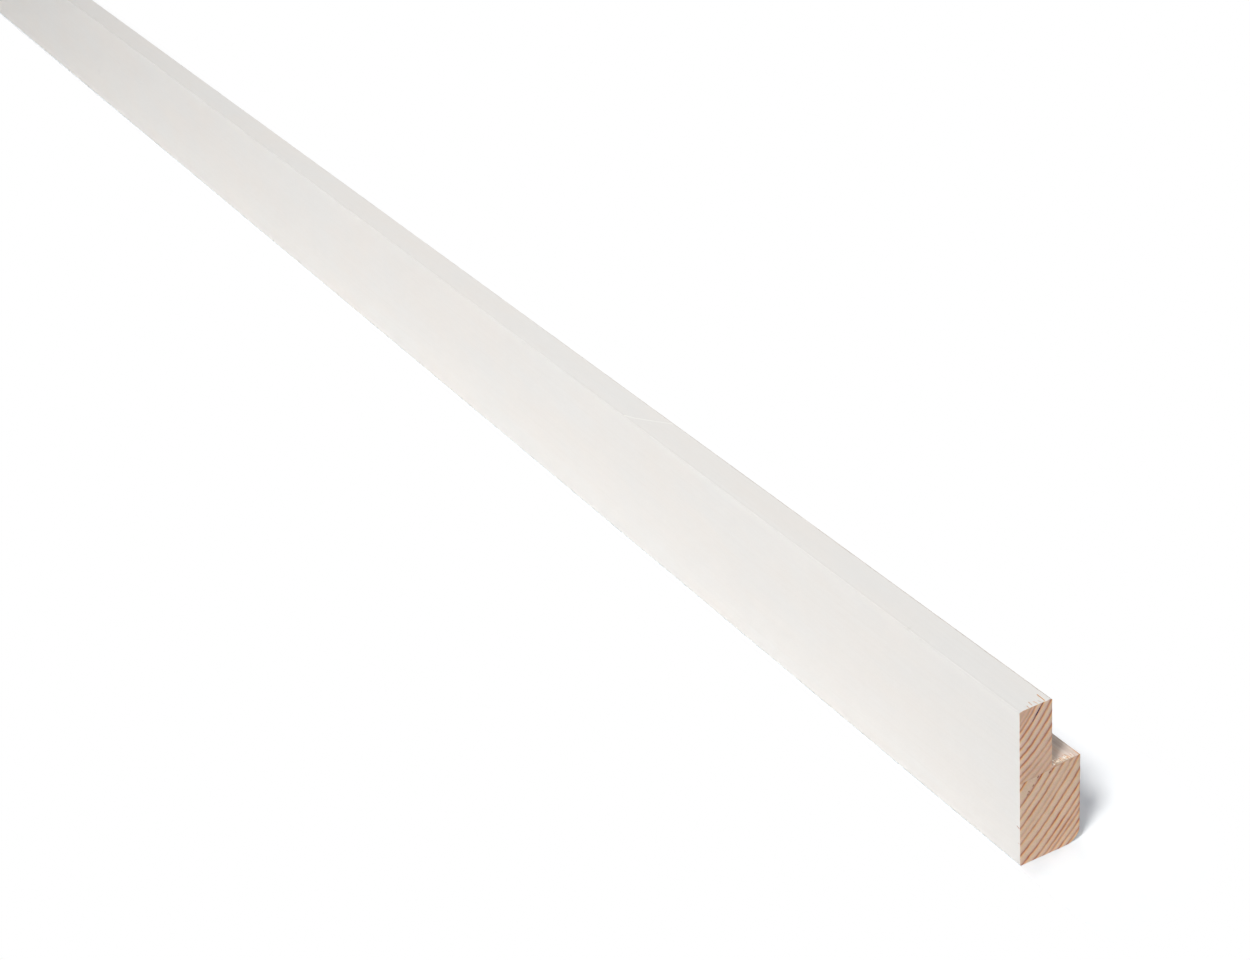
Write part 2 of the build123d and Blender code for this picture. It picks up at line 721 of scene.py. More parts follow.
    def _cap(self, sawn: SawnEnd, edge: Array) -> tuple[Array, list[tuple[int, int, int]]]:
        """Closes one end, and sets it and its edge back by what the saw left.

        Args:
            sawn: what the end is like.
            edge: the ring's points there, which are set back too.

        Returns:
            The points inside the ring, and triangles anticlockwise that count the ring's points first.
        """
        ring = edge[:, 1:]
        inside, triangles = sawn.mesh(ring)
        distance = np.linalg.norm(inside[:, None] - ring[None], axis=-1).min(axis=1)
        face = np.column_stack([np.full(len(inside), sawn.end.value * self.half_length), inside])
        recess = sawn.recess(inside, distance)
        for mark in sawn.marks:
            recess = recess + mark.sinking(face)
        edge[:, 0] -= sawn.end.value * sawn.recess(ring, np.zeros(len(ring)))
        face[:, 0] -= sawn.end.value * recess
        return face, triangles

    def _sides(
        self, rim: Rim, along: Array, layout: BakeLayout
    ) -> tuple[list[list[int]], list[Face], list[Array]]:
        """Joins the sections with faces.

        Args:
            rim: the section's ring.
            along: where the sections stand, in metres.
            layout: the sheet that the faces are laid out on.

        Returns:
            The faces, their finishes, and their corners' places on the sheet.
        """
        faces: list[list[int]] = []
        finishes: list[Face] = []
        sheet: list[Array] = []
        ring_size = len(rim.points)
        piece_length = layout.length / layout.lengths
        for row in range(len(along) - 1):
            middle = (along[row] + along[row + 1]) / 2 + self.half_length
            piece = min(layout.lengths - 1, int(middle / piece_length))
            start, goal = (along[row : row + 2] + self.half_length) / piece_length - piece
            share = np.array([[start, piece], [start, piece], [goal, piece], [goal, piece]])
            here, there = row * ring_size, (row + 1) * ring_size
            for k in range(ring_size):
                following = (k + 1) % ring_size
                faces.append([here + k, here + following, there + following, there + k])
                finishes.append(rim.finishes[k])
                run = np.array([rim.run[k], rim.run[k + 1], rim.run[k + 1], rim.run[k]])
                sheet.extend(layout.sides(share, run))
        return faces, finishes, sheet

    def _finished(
        self, vertices: Array, faces: list[list[int]], finishes: list[Face], sheet: Array
    ) -> Mesh:
        """Makes the mesh from its parts, smooth except at its sharp edges.

        Args:
            vertices: its points, in metres.
            faces: the numbers of each face's points.
            finishes: what each face is finished with.
            sheet: the place on the sheet of each face's corners.

        Returns:
            The mesh.
        """
        mesh = bpy.data.meshes.new("primed_board")
        mesh.from_pydata([tuple(v) for v in vertices], [], faces)
        mesh.polygons.foreach_set("material_index", [finish.value for finish in finishes])
        mesh.uv_layers.new(name="OFBake").data.foreach_set("uv", sheet.ravel())
        mesh.shade_smooth()
        mesh.set_sharp_from_angle(angle=math.radians(self.sharp_angle))
        mesh.validate()
        mesh.update()
        return mesh

    def build(self, materials: Iterable[Material]) -> Object:
        """Makes the board, dressed in its finishes, in the order of Face."""
        piece = finished_piece("primed_board", self.mesh(), materials)
        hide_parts(NODE)
        return piece


@dataclass(frozen=True)
class Noise:
    """A smooth random pattern."""

    # How fast it changes along, across and up, beside the coordinates that it is given
    pace: Place
    # How many finer layers it has, and how strong each is beside the one before
    detail: float = 2.0
    rough: float = 0.5
    # How far it moves what it makes uneven
    reach: float = 0.0
    # Its values between which one thing turns into another
    turn: Span = (0.0, 1.0)


@dataclass
class Desk:
    """Places and links the nodes of one tree."""

    tree: NodeTree

    # How the nodes are laid out in the editor
    COLUMNS = 12
    COLUMN_WIDTH = 180
    ROW_HEIGHT = 220

    def add(self, kind: str, inputs: dict[Any, Any] | None = None, **settings: Any) -> Node:
        """Adds one node.

        Args:
            kind: its type, as the tree names it.
            inputs: what goes into its sockets, by name or number: a socket is linked, a value is set.
            settings: its own properties.

        Returns:
            The new node.
        """
        node = self.tree.nodes.new(kind)
        row, column = divmod(len(self.tree.nodes), self.COLUMNS)
        node.location = (self.COLUMN_WIDTH * column, -self.ROW_HEIGHT * row)
        for name, value in settings.items():
            setattr(node, name, value)
        for key, value in (inputs or {}).items():
            self.feed(node.inputs[key], value)
        return node

    def feed(self, socket: Socket, value: Any) -> None:
        """Links a socket to another, or sets its value.

        Args:
            socket: the socket to feed.
            value: the other socket, or the value.
        """
        if isinstance(value, Socket):
            self.tree.links.new(value, socket)
        elif isinstance(value, tuple) and len(value) == 3 and socket.type == "RGBA":
            socket.default_value = (*value, 1.0)
        else:
            socket.default_value = value

    def given(self, name: str) -> Socket:
        """Gives one of the group's own inputs."""
        return self.tree.nodes["In"].outputs[name]

    def give(self, outputs: dict[str, Socket]) -> NodeTree:
        """Feeds the group's own outputs, by name, and gives the group."""
        for name, value in outputs.items():
            self.feed(self.tree.nodes["Out"].inputs[name], value)
        return self.tree

    def group(self, tree: NodeTree, inputs: dict[str, Any] | None = None) -> Any:
        """Places a node group, and gives its outputs."""
        return self.add("ShaderNodeGroup", inputs, node_tree=tree).outputs

    def math(self, operation: str, *values: Any, clamp: bool = False) -> Socket:
        """Works out one number from others."""
        node = self.add("ShaderNodeMath", dict(enumerate(values)), operation=operation, use_clamp=clamp)
        return node.outputs[0]

    def times(self, first: Any, second: Any) -> Socket:
        """Multiplies two numbers."""
        return self.math("MULTIPLY", first, second)

    def less(self, first: Any, second: Any) -> Socket:
        """Takes the second number from the first."""
        return self.math("SUBTRACT", first, second)

    def vector(self, operation: str, *values: Any, scale: Any = None) -> Socket:
        """Works out one vector, or the number that the operation gives.

        Args:
            operation: what is worked out.
            values: what from.
            scale: by how much a vector is scaled, where that is the operation.

        Returns:
            The result.
        """
        node = self.add("ShaderNodeVectorMath", dict(enumerate(values)), operation=operation)
        if scale is not None:
            self.feed(node.inputs["Scale"], scale)
        gives_number = operation in ("LENGTH", "DISTANCE", "DOT_PRODUCT")
        return node.outputs["Value" if gives_number else "Vector"]

    def combine(self, x: Any, y: Any, z: Any) -> Socket:
        """Makes a vector from three numbers."""
        return self.add("ShaderNodeCombineXYZ", {0: x, 1: y, 2: z}).outputs[0]

    def split(self, vector: Socket) -> tuple[Socket, Socket, Socket]:
        """Takes a vector apart."""
        outputs = self.add("ShaderNodeSeparateXYZ", {0: vector}).outputs
        return outputs[0], outputs[1], outputs[2]

    def place(self) -> Socket:
        """Gives each point's place on its piece, in metres."""
        return self.add("ShaderNodeTexCoord").outputs["Object"]

    def spot(self) -> Socket:
        """Gives each point's place on the board, in millimetres."""
        return self.vector("SCALE", self.place(), scale=1 / MM)

    def noise(self, vector: Socket, detail: float = 2.0, rough: float = 0.5) -> Socket:
        """Gives a smooth random value, about 0.5 on average, at each place."""
        inputs = {"Vector": vector, "Scale": 1.0, "Detail": detail, "Roughness": rough}
        return self.add("ShaderNodeTexNoise", inputs).outputs[0]

    def pattern(self, place: Socket, noise: Noise) -> Socket:
        """Gives a pattern's random value at each place."""
        return self.noise(self.vector("MULTIPLY", place, noise.pace), noise.detail, noise.rough)

    def swing(self, base: Any, value: Socket, amount: Any) -> Socket:
        """Moves a number up and down as a random value does about its mean."""
        return self.math("MULTIPLY_ADD", self.less(value, 0.5), amount, base)

    def stretch(self, value: Any, low: Any, high: Any, to_low: Any, to_high: Any) -> Socket:
        """Maps a range of values to another and holds it there."""
        inputs = {0: value, 1: low, 2: high, 3: to_low, 4: to_high}
        return self.add("ShaderNodeMapRange", inputs, clamp=True).outputs[0]

    def stirred(self, base: Any, place: Socket, noise: Noise) -> Socket:
        """Makes a number uneven by a pattern."""
        return self.swing(base, self.pattern(place, noise), noise.reach)

    def turned(self, place: Socket, noise: Noise, low: float = 0.0, high: float = 1.0) -> Socket:
        """Goes from the low value to the high one as a pattern turns."""
        return self.stretch(self.pattern(place, noise), *noise.turn, low, high)

    def ease(self, value: Any, low: float, high: float) -> Socket:
        """Rises softly from 0 at the low value to 1 at the high one."""
        inputs = {0: value, 1: low, 2: high, 3: 0.0, 4: 1.0}
        return self.add("ShaderNodeMapRange", inputs, interpolation_type="SMOOTHSTEP").outputs[0]

    def fall(self, value: Any, low: float, high: float) -> Socket:
        """Falls softly from 1 at the low value to 0 at the high one."""
        return self.less(1.0, self.ease(value, low, high))

    def fall_off_line(self, value: Socket, low: float, high: float) -> Socket:
        """Falls softly from 1 to 0 on both sides of nothing."""
        return self.fall(self.math("ABSOLUTE", value), low, high)

    def curve(self, value: Socket, points: Iterable[Pair]) -> Socket:
        """Reads a value off a line.

        Args:
            value: where along the line, from 0 to 1.
            points: the points that the line is drawn through, both coordinates from 0 to 1.

        Returns:
            The line's height there.
        """
        node = self.add("ShaderNodeFloatCurve", {"Value": value})
        line = node.mapping.curves[0]
        stops = list(points)
        line.points[0].location = stops[0]
        line.points[1].location = stops[-1]
        for stop in stops[1:-1]:
            line.points.new(*stop)
        for point in line.points:
            point.handle_type = "VECTOR"
        node.mapping.update()
        return node.outputs[0]

    def ramp(self, value: Socket, stops: Iterable[tuple[float, Colour]]) -> Socket:
        """Turns a value into a colour.

        Args:
            value: the value, from 0 to 1.
            stops: values, each with its colour.

        Returns:
            The colour.
        """
        node = self.add("ShaderNodeValToRGB", {0: value})
        elements = node.color_ramp.elements
        for number, (place, colour) in enumerate(stops):
            element = elements[number] if number < 2 else elements.new(place)
            element.position = place
            element.color = (*colour, 1.0)
        return node.outputs[0]

    def blend(self, share: Any, first: Any, second: Any, way: str = "MIX") -> Socket:
        """Mixes two colours.

        Args:
            share: how much of the second there is, from 0 to 1.
            first: the first colour.
            second: the second colour.
            way: how they are mixed.

        Returns:
            The mixture.
        """
        node = self.add("ShaderNodeMix", data_type="RGBA", blend_type=way)
        for socket, value in zip((0, 6, 7), (share, first, second)):
            self.feed(node.inputs[socket], value)
        return node.outputs[2]

    def tinted(self, colour: Any, tint: Any) -> Socket:
        """Takes a colour times a tint."""
        return self.blend(1.0, colour, tint, "MULTIPLY")

    def toned(self, colour: Any, tone: Socket) -> Socket:
        """Takes a colour times a tone of grey."""
        return self.tinted(colour, self.combine(tone, tone, tone))


def node_group(
    name: str, inputs: dict[str, Any], outputs: dict[str, str], tree_kind: str = "ShaderNodeTree"
) -> NodeTree:
    """Starts a node group with its named inputs and outputs.

    Args:
        name: the group's name.
        inputs: each with its kind, or the number or colour that it is where nothing feeds it.
        outputs: each with its kind.
        tree_kind: which editor's group it is.

    Returns:
        The group, with its input and output nodes in place.
    """
    tree = bpy.data.node_groups.new(name, tree_kind)
    for plug, value in inputs.items():
        kind = value if isinstance(value, str) else "Float" if isinstance(value, float) else "Color"
        socket = tree.interface.new_socket(plug, in_out="INPUT", socket_type="NodeSocket" + kind)
        if value is not kind:
            socket.default_value = (*value, 1.0) if kind == "Color" else value
    for plug, kind in outputs.items():
        tree.interface.new_socket(plug, in_out="OUTPUT", socket_type="NodeSocket" + kind)
    tree.nodes.new("NodeGroupInput").name = "In"
    tree.nodes.new("NodeGroupOutput").name = "Out"
    return tree


@dataclass(frozen=True)
class SoftwoodGrain:
    """Softwood all through the board: rings on its ends, and the same rings as long grain on its sides."""

    # The pale wood that the line's colours were read beside
    earlywood: Colour = paint(226, 199, 169)
    # The browner wood of some rings, and how far such a ring turns so
    brown: Colour = paint(218, 177, 150)
    brown_share: float = 0.9
    # What tints some of the wood, and the rest of it
    pinkish: Colour = (1.03, 0.985, 1.03)
    yellowish: Colour = (0.98, 1.01, 0.94)
    # The glue line's colour, and how far it shows
    glue: Colour = paint(196, 158, 132)
    glue_share: float = 0.5
    # From where that colour fades, and where it ends, in millimetres from the joint
    glue_reach: Span = (0.04, 0.16)
    # How far the colours of a latewood line reach to each side of it, in millimetres
    line_reach: float = 1.0
    # Those colours, by distance from the line, outwards from the pith
    line_stops: tuple[tuple[float, Colour], ...] = (
        (-0.95, paint(226, 199, 169)),
        (-0.58, paint(218, 189, 164)),
        (-0.30, paint(198, 153, 135)),
        (-0.11, paint(165, 90, 72)),
        (0.04, paint(179, 95, 56)),
        (0.17, paint(208, 129, 72)),
        (0.36, paint(232, 172, 106)),
        (0.60, paint(237, 200, 148)),
        (0.88, paint(226, 199, 169)),
    )
    # From where a line's latewood fades, and where it ends, in millimetres from it
    line_core: Span = (0.05, 0.4)
    # Where below the joint the lines are darker, and how much so
    line_ends: Span = (-1.1, -0.1)
    line_end_strength: float = 0.35
    # A distance between lines that none is wider than, in millimetres
    widest_gap: float = 4.0
    # How far the rings move over for each metre away from the near end, in millimetres
    drift: float = -4.0
    # How far they sway along the board, in millimetres, and how fast, in steps a millimetre
    sway: float = 7.0
    sway_pace: float = 0.0031
    # Where that pattern is read off
    sway_origin: Pair = (3.7, 1.9)
    # Over what distance from the near end the sway sets in, in millimetres
    sway_start: Span = (0.0, 260.0)
    # How much slower every pattern changes along the board than across it
    long_pace: float = 0.0042
    # A broad and a fine unevenness of the rings, in millimetres
    warp: Noise = Noise((1.0, 0.13, 0.13), 1.0, reach=0.55)
    jitter: Noise = Noise((1.0, 0.8, 0.8), reach=0.36)
    # What makes a line paler in places, and how strong it still is there
    fade: Noise = Noise((1.0, 0.22, 0.22), turn=(0.32, 0.6))
    fade_least: float = 0.62
    # How far off the board the rays meet, in millimetres
    ray_centre: float = 60.0
    # How fast the rays change outwards, a millimetre, and round, a radian
    ray_pace: Pair = (0.35, 330.0)
    # The single fibres, and broad darker and paler patches
    fibres: Noise = Noise((8.0, 3.4, 3.4), 3.0, 0.7)
    patches: Noise = Noise((1.0, 0.12, 0.12), 1.0)
    # How much the rays, the fibres and the patches darken and lighten the wood
    tones: Triple = (0.20, 0.34, 0.12)
    # The pattern of the two tints
    mottle: Noise = Noise((1.0, 1.3, 1.3), 2.0, 0.6, turn=(0.36, 0.64))
    # How much the fibres and the latewood stand out
    relief_shares: Pair = (0.7, 0.35)

    def group(self) -> NodeTree:
        """Builds the group, which gives the wood's colour, its relief and where its latewood is."""
        outputs = {"Color": "Color", "Relief": "Float", "Latewood": "Float"}
        desk = Desk(node_group("softwood grain", {}, outputs))
        along, across, up = desk.split(desk.spot())
        slow = desk.combine(desk.times(along, self.long_pace), across, up)
        shift = self._shift(desk, along, slow)
        above = desk.less(up, GLUE_LINE.height)
        joint = desk.math("MULTIPLY_ADD", across, -GLUE_LINE.slope, above)
        upper = desk.math("GREATER_THAN", joint, 0.0)
        laths = [self._rings(desk, rings, across, up, shift) for rings in (BODY_RINGS, TONGUE_RINGS)]
        distance, strength, brown, radius = (self._choose(desk, upper, *pair) for pair in zip(*laths))
        lower = desk.less(1.0, upper)
        end_of_line = desk.times(desk.ease(joint, *self.line_ends), lower)
        strength = desk.math("MULTIPLY_ADD", end_of_line, self.line_end_strength, strength, clamp=True)
        pale = desk.blend(upper, BODY_RINGS.earlywood, TONGUE_RINGS.earlywood)
        between = desk.blend(desk.times(brown, self.brown_share), pale, self.brown)
        line = self._line(desk, distance, between)
        fade = desk.turned(slow, self.fade, self.fade_least, 1.0)
        strength = desk.times(strength, fade)
        fibres = desk.pattern(slow, self.fibres)
        tone = self._tone(desk, slow, (across, up, radius), fibres)
        colour = desk.toned(desk.blend(strength, between, line), tone)
        tint = desk.blend(desk.turned(slow, self.mottle), self.pinkish, self.yellowish)
        colour = desk.tinted(colour, tint)
        glued = desk.fall_off_line(joint, *self.glue_reach)
        colour = desk.blend(desk.times(glued, self.glue_share), colour, self.glue)
        late = desk.times(desk.fall_off_line(distance, *self.line_core), strength)
        fibre_share, late_share = self.relief_shares
        relief = desk.math("MULTIPLY_ADD", fibres, fibre_share, desk.times(late, late_share))
        return desk.give({"Color": colour, "Relief": relief, "Latewood": late})

    def _line(self, desk: Desk, distance: Socket, between: Socket) -> Socket:
        """Colours a latewood line.

        Args:
            desk: the tree's desk.
            distance: the distance from the line, in millimetres.
            between: the colour of the wood that it lies in.

        Returns:
            The line's colour there.
        """
        share = desk.stretch(distance, -self.line_reach, self.line_reach, 0.0, 1.0)
        stops = [((stop / self.line_reach + 1) / 2, colour) for stop, colour in self.line_stops]
        wood = desk.vector("DIVIDE", between, self.earlywood)
        return desk.tinted(desk.ramp(share, stops), wood)

    def _tone(
        self, desk: Desk, slow: Socket, place: tuple[Socket, Socket, Socket], fibres: Socket
    ) -> Socket:
        """Works out how much darker or paler the wood is by its rays, fibres and patches.

        Args:
            desk: the tree's desk.
            slow: each point's place, drawn together along the board.
            place: its place across and up, and its distance from the pith, in millimetres.
            fibres: the pattern of the fibres.

        Returns:
            The tone, about 1.
        """
        across, up, radius = place
        outward_pace, round_pace = self.ray_pace
        angle = desk.math("ARCTAN2", up, desk.math("ADD", across, self.ray_centre))
        outward, turned = desk.times(radius, outward_pace), desk.times(angle, round_pace)
        rays = desk.noise(desk.combine(outward, turned, slow))
        patches = desk.pattern(slow, self.patches)
        tone: Any = 1.0
        for value, amount in zip((rays, fibres, patches), self.tones):
            tone = desk.swing(tone, value, amount)
        return tone

    def _shift(self, desk: Desk, along: Socket, slow: Socket) -> Socket:
        """Moves the rings over: slowly along the board, and a little unevenly across it.

        Args:
            desk: the tree's desk.
            along: each point's place along the board, in millimetres.
            slow: each point's place, drawn together along the board.

        Returns:
            How far the rings are moved there, in millimetres.
        """
        away = desk.less(CAD_BOX[1].x / MM, along)
        sway = desk.noise(desk.combine(desk.times(away, self.sway_pace), *self.sway_origin), 1.0)
        leave = desk.times(desk.less(sway, 0.5), desk.ease(away, *self.sway_start))
        moved = desk.math("MULTIPLY_ADD", away, self.drift * MM, desk.times(leave, self.sway))
        moved = desk.stirred(moved, slow, self.warp)
        return desk.stirred(moved, slow, self.jitter)

    @staticmethod
    def _choose(desk: Desk, upper: Socket, low: Socket, high: Socket) -> Socket:
        """Takes the lower lath's value below the glue line and the upper lath's above it."""
        node = desk.add("ShaderNodeMix", {0: upper, 2: low, 3: high}, data_type="FLOAT")
        return node.outputs[0]

    def _rings(
        self, desk: Desk, rings: GrowthRings, across: Socket, up: Socket, shift: Socket
    ) -> tuple[Socket, Socket, Socket, Socket]:
        """Finds each place's ring.

        Args:
            desk: the tree's desk.
            rings: the lath's growth rings.
            across: each place's distance across, in millimetres.
            up: its height, in millimetres.
            shift: how far the rings are moved over there, in millimetres.

        Returns:
            The distance from the nearest latewood line, less than 0 on its pith side; how dark that line
            is; how brown the wood is; and the radius.
        """
        aside = desk.less(across, rings.pith[0])
        below = desk.less(up, rings.pith[1])
        radius = desk.math("ADD", desk.vector("LENGTH", desk.combine(aside, below, 0.0)), shift)
        first, last = rings.radii[0], rings.radii[-1]
        held = desk.math("MINIMUM", desk.math("MAXIMUM", radius, first), last)
        beyond = desk.math("DIVIDE", desk.less(radius, held), rings.spacing)
        share = desk.stretch(radius, first, last, 0.0, 1.0)
        count = len(rings.radii) - 1
        grown = desk.curve(share, [(place, k / count) for k, place in enumerate(rings.places)])
        gap = desk.curve(share, [(place, gap / self.widest_gap) for place, gap in rings.gaps()])
        strength = desk.curve(share, zip(rings.places, rings.strengths))
        brown = desk.curve(share, zip(rings.places, rings.browning))
        age = desk.math("ADD", desk.math("MULTIPLY_ADD", grown, float(count), 0.5), beyond)
        place = desk.less(desk.math("FRACT", desk.math("ADD", age, 4.0 * count)), 0.5)
        distance = desk.times(place, desk.times(gap, self.widest_gap))
        return distance, strength, brown, radius


@dataclass(frozen=True)
class PrimerFilm:
    """The coat of primer: faint warm and cool patches, brush lines, and the grain showing through."""

    # The coat's patches on the show face
    warm: Colour = paint(238, 233.5, 228.5)
    cool: Colour = paint(236.5, 234, 230.5)
    # The pattern of those patches
    broad: Noise = Noise((0.022, 0.06, 0.055), 3.0, 0.6, turn=(0.36, 0.64))
    # A cloudy unevenness, the lines that the brush left, and fine specks
    cloud: Noise = Noise((0.16, 0.35, 0.35), 3.0, 0.65, reach=0.03)
    brushed: Noise = Noise((0.03, 1.7, 1.7), 3.0, 0.6, reach=0.035)
    speckle: Noise = Noise((2.1, 2.4, 2.4), 2.0, 0.7, reach=0.04)
    # How much the brush lines, the specks and the clouds stand out
    relief_shares: Triple = (0.5, 0.35, 0.9)
    # The pattern of thin and thick streaks
    streaks: Noise = Noise((0.05, 2.6, 2.6), 3.0, 0.7)
    # How much the patches and the streaks change how well the coat covers
    cover_shares: Pair = (0.35, 0.65)

    def group(self) -> NodeTree:
        """Builds the group, which gives the coat's colour, relief and how well it covers."""
        outputs = {"Color": "Color", "Relief": "Float", "Cover": "Float"}
        desk = Desk(node_group("primer film", {"Warm": self.warm, "Cool": self.cool}, outputs))
        spot = desk.spot()
        broad = desk.pattern(spot, self.broad)
        finer = (self.cloud, self.brushed, self.speckle)
        cloud, brushed, speckle = (desk.pattern(spot, noise) for noise in finer)
        patches = desk.stretch(broad, *self.broad.turn, 0.0, 1.0)
        tone: Any = 1.0
        for value, noise in zip((cloud, brushed, speckle), finer):
            tone = desk.swing(tone, value, noise.reach)
        colour = desk.toned(desk.blend(patches, desk.given("Warm"), desk.given("Cool")), tone)
        brush_share, speck_share, cloud_share = self.relief_shares
        relief = desk.math("MULTIPLY_ADD", brushed, brush_share, desk.times(speckle, speck_share))
        relief = desk.math("MULTIPLY_ADD", cloud, cloud_share, relief)
        patch_share, streak_share = self.cover_shares
        streaks = desk.times(desk.pattern(spot, self.streaks), streak_share)
        cover = desk.math("MULTIPLY_ADD", broad, patch_share, streaks)
        return desk.give({"Color": colour, "Relief": relief, "Cover": cover})


@dataclass(frozen=True)
class StreakMark:
    """A straight narrow mark with frayed edges, placed by its two ends."""

    # The pattern that frays its edges
    frayed: Noise = Noise((1.6, 5.0, 5.0))
    # From where its edge fades, and where it ends, in half widths
    edge: Span = (0.5, 1.3)
    # A square of a length that is held to be none, in square millimetres
    no_length: float = 1e-6

    def group(self) -> NodeTree:
        """Builds the group, which gives 1 on the mark and 0 off it."""
        inputs = {"Start": "Vector", "End": "Vector", "Side": "Vector"}
        inputs |= {"Half Width": 0.2, "Fray": 0.5, "Strength": 1.0}
        desk = Desk(node_group("streak mark", inputs, {"Mask": "Float"}))
        start, side = desk.given("Start"), desk.given("Side")
        spot = desk.spot()
        line = desk.vector("MULTIPLY", desk.vector("SUBTRACT", desk.given("End"), start), side)
        offset = desk.vector("MULTIPLY", desk.vector("SUBTRACT", spot, start), side)
        reach = desk.math("MAXIMUM", desk.vector("DOT_PRODUCT", line, line), self.no_length)
        share = desk.math("DIVIDE", desk.vector("DOT_PRODUCT", offset, line), reach, clamp=True)
        distance = desk.vector("DISTANCE", offset, desk.vector("SCALE", line, scale=share))
        centred = desk.less(desk.pattern(spot, self.frayed), 0.5)
        ragged = desk.times(centred, desk.given("Fray"))
        ratio = desk.math("ADD", desk.math("DIVIDE", distance, desk.given("Half Width")), ragged)
        mask = desk.times(desk.fall(ratio, *self.edge), desk.given("Strength"))
        return desk.give({"Mask": mask})


@dataclass(frozen=True)
class WornArris:
    """Wear along an arris that runs the length of the board."""

    # What moves the wear's edge, in reaches of the wear
    uneven: Noise = Noise((0.11, 1.0, 1.0), 4.0, 0.65, reach=1.6)
    # From where the wear fades, and where it ends, in reaches
    edge: Span = (0.6, 1.2)

    def group(self) -> NodeTree:
        """Builds the group, which gives 1 where the arris is worn through."""
        inputs = {"Across": "Float", "Up": "Float", "Reach": 0.3, "From": 0.0, "To": 1200.0, "Least": 0.0}
        desk = Desk(node_group("worn arris", inputs, {"Mask": "Float"}))
        spot = desk.spot()
        along, across, up = desk.split(spot)
        aside = desk.less(across, desk.given("Across"))
        above = desk.less(up, desk.given("Up"))
        distance = desk.vector("LENGTH", desk.combine(aside, above, 0.0))
        ratio = desk.math("DIVIDE", distance, desk.given("Reach"))
        ratio = desk.stirred(ratio, spot, self.uneven)
        amount = desk.stretch(along, desk.given("From"), desk.given("To"), desk.given("Least"), 1.0)
        return desk.give({"Mask": desk.times(desk.fall(ratio, *self.edge), amount)})


@dataclass(frozen=True)
class Wear:
    """How one arris is worn."""

    # How far the wear spreads, in millimetres
    reach: float
    # Where along the board it sets in, and where it is full, in millimetres
    start: float
    full: float
    # How much of it there is before it sets in, from 0 to 1
    least: float
    # How much of the coat it takes where it is full
    share: float


@dataclass
class Effects:
    """The node groups that the finishes share: the wood, the primer, one mark and a worn arris."""

    grain: NodeTree
    film: NodeTree
    streak: NodeTree
    arris: NodeTree

    @classmethod
    def build(cls) -> "Effects":
        """Builds each group once."""
        return cls(*(effect().group() for effect in (SoftwoodGrain, PrimerFilm, StreakMark, WornArris)))

    def streaks(self, desk: Desk, marks: Iterable[Streak], fray: float) -> Socket:
        """Joins several streaks into one mask.

        Args:
            desk: the material's desk.
            marks: the streaks.
            fray: how ragged their edges are.

        Returns:
            A value of 1 on any of them.
        """
        together: Socket | None = None
        for mark in marks:
            values = {"Start": mark.start, "End": mark.end, "Side": mark.side.value}
            values |= {"Half Width": mark.half_width, "Fray": fray, "Strength": mark.strength}
            mask = desk.group(self.streak, values)["Mask"]
            together = mask if together is None else desk.math("MAXIMUM", together, mask)
        return together

    def worn(self, desk: Desk, spot: Spot, wear: Wear) -> Socket:
        """Places wear on one arris.

        Args:
            desk: the material's desk.
            spot: the arris's place across and up, in millimetres.
            wear: how it is worn.

        Returns:
            A value of 1 where the wear is full.
        """
        values = {"Across": spot[0], "Up": spot[1], "Reach": wear.reach}
        values |= {"From": wear.start, "To": wear.full, "Least": wear.least}
        return desk.group(self.arris, values)["Mask"]


@dataclass(frozen=True)
class Finish:
    """A finish of the board. Each kind adds how it is built up."""

    name: str
    # How matt it is
    roughness: float
    # How deep its finest relief is, in metres
    bump: float

    def start(self) -> tuple[Material, Desk, Node]:
        """Makes an empty material with its shader, and a desk to work at."""
        material = bpy.data.materials.new(self.name)
        material.use_nodes = True
        material.node_tree.nodes.clear()
        desk = Desk(material.node_tree)
        shader = desk.add("ShaderNodeBsdfPrincipled", {"Roughness": self.roughness})
        desk.add("ShaderNodeOutputMaterial", {0: shader.outputs[0]})
        return material, desk, shader

    def dress(self, desk: Desk, shader: Node, colour: Socket, height: Socket) -> None:
        """Gives the surface its colour and its finest relief.

        Args:
            desk: the material's desk.
            shader: its shader.
            colour: the surface's colour.
            height: how far it stands out, in depths of the relief.
        """
        desk.feed(shader.inputs["Base Color"], colour)
        bump = desk.add("ShaderNodeBump", {"Distance": self.bump, "Height": height})
        desk.feed(shader.inputs["Normal"], bump.outputs[0])


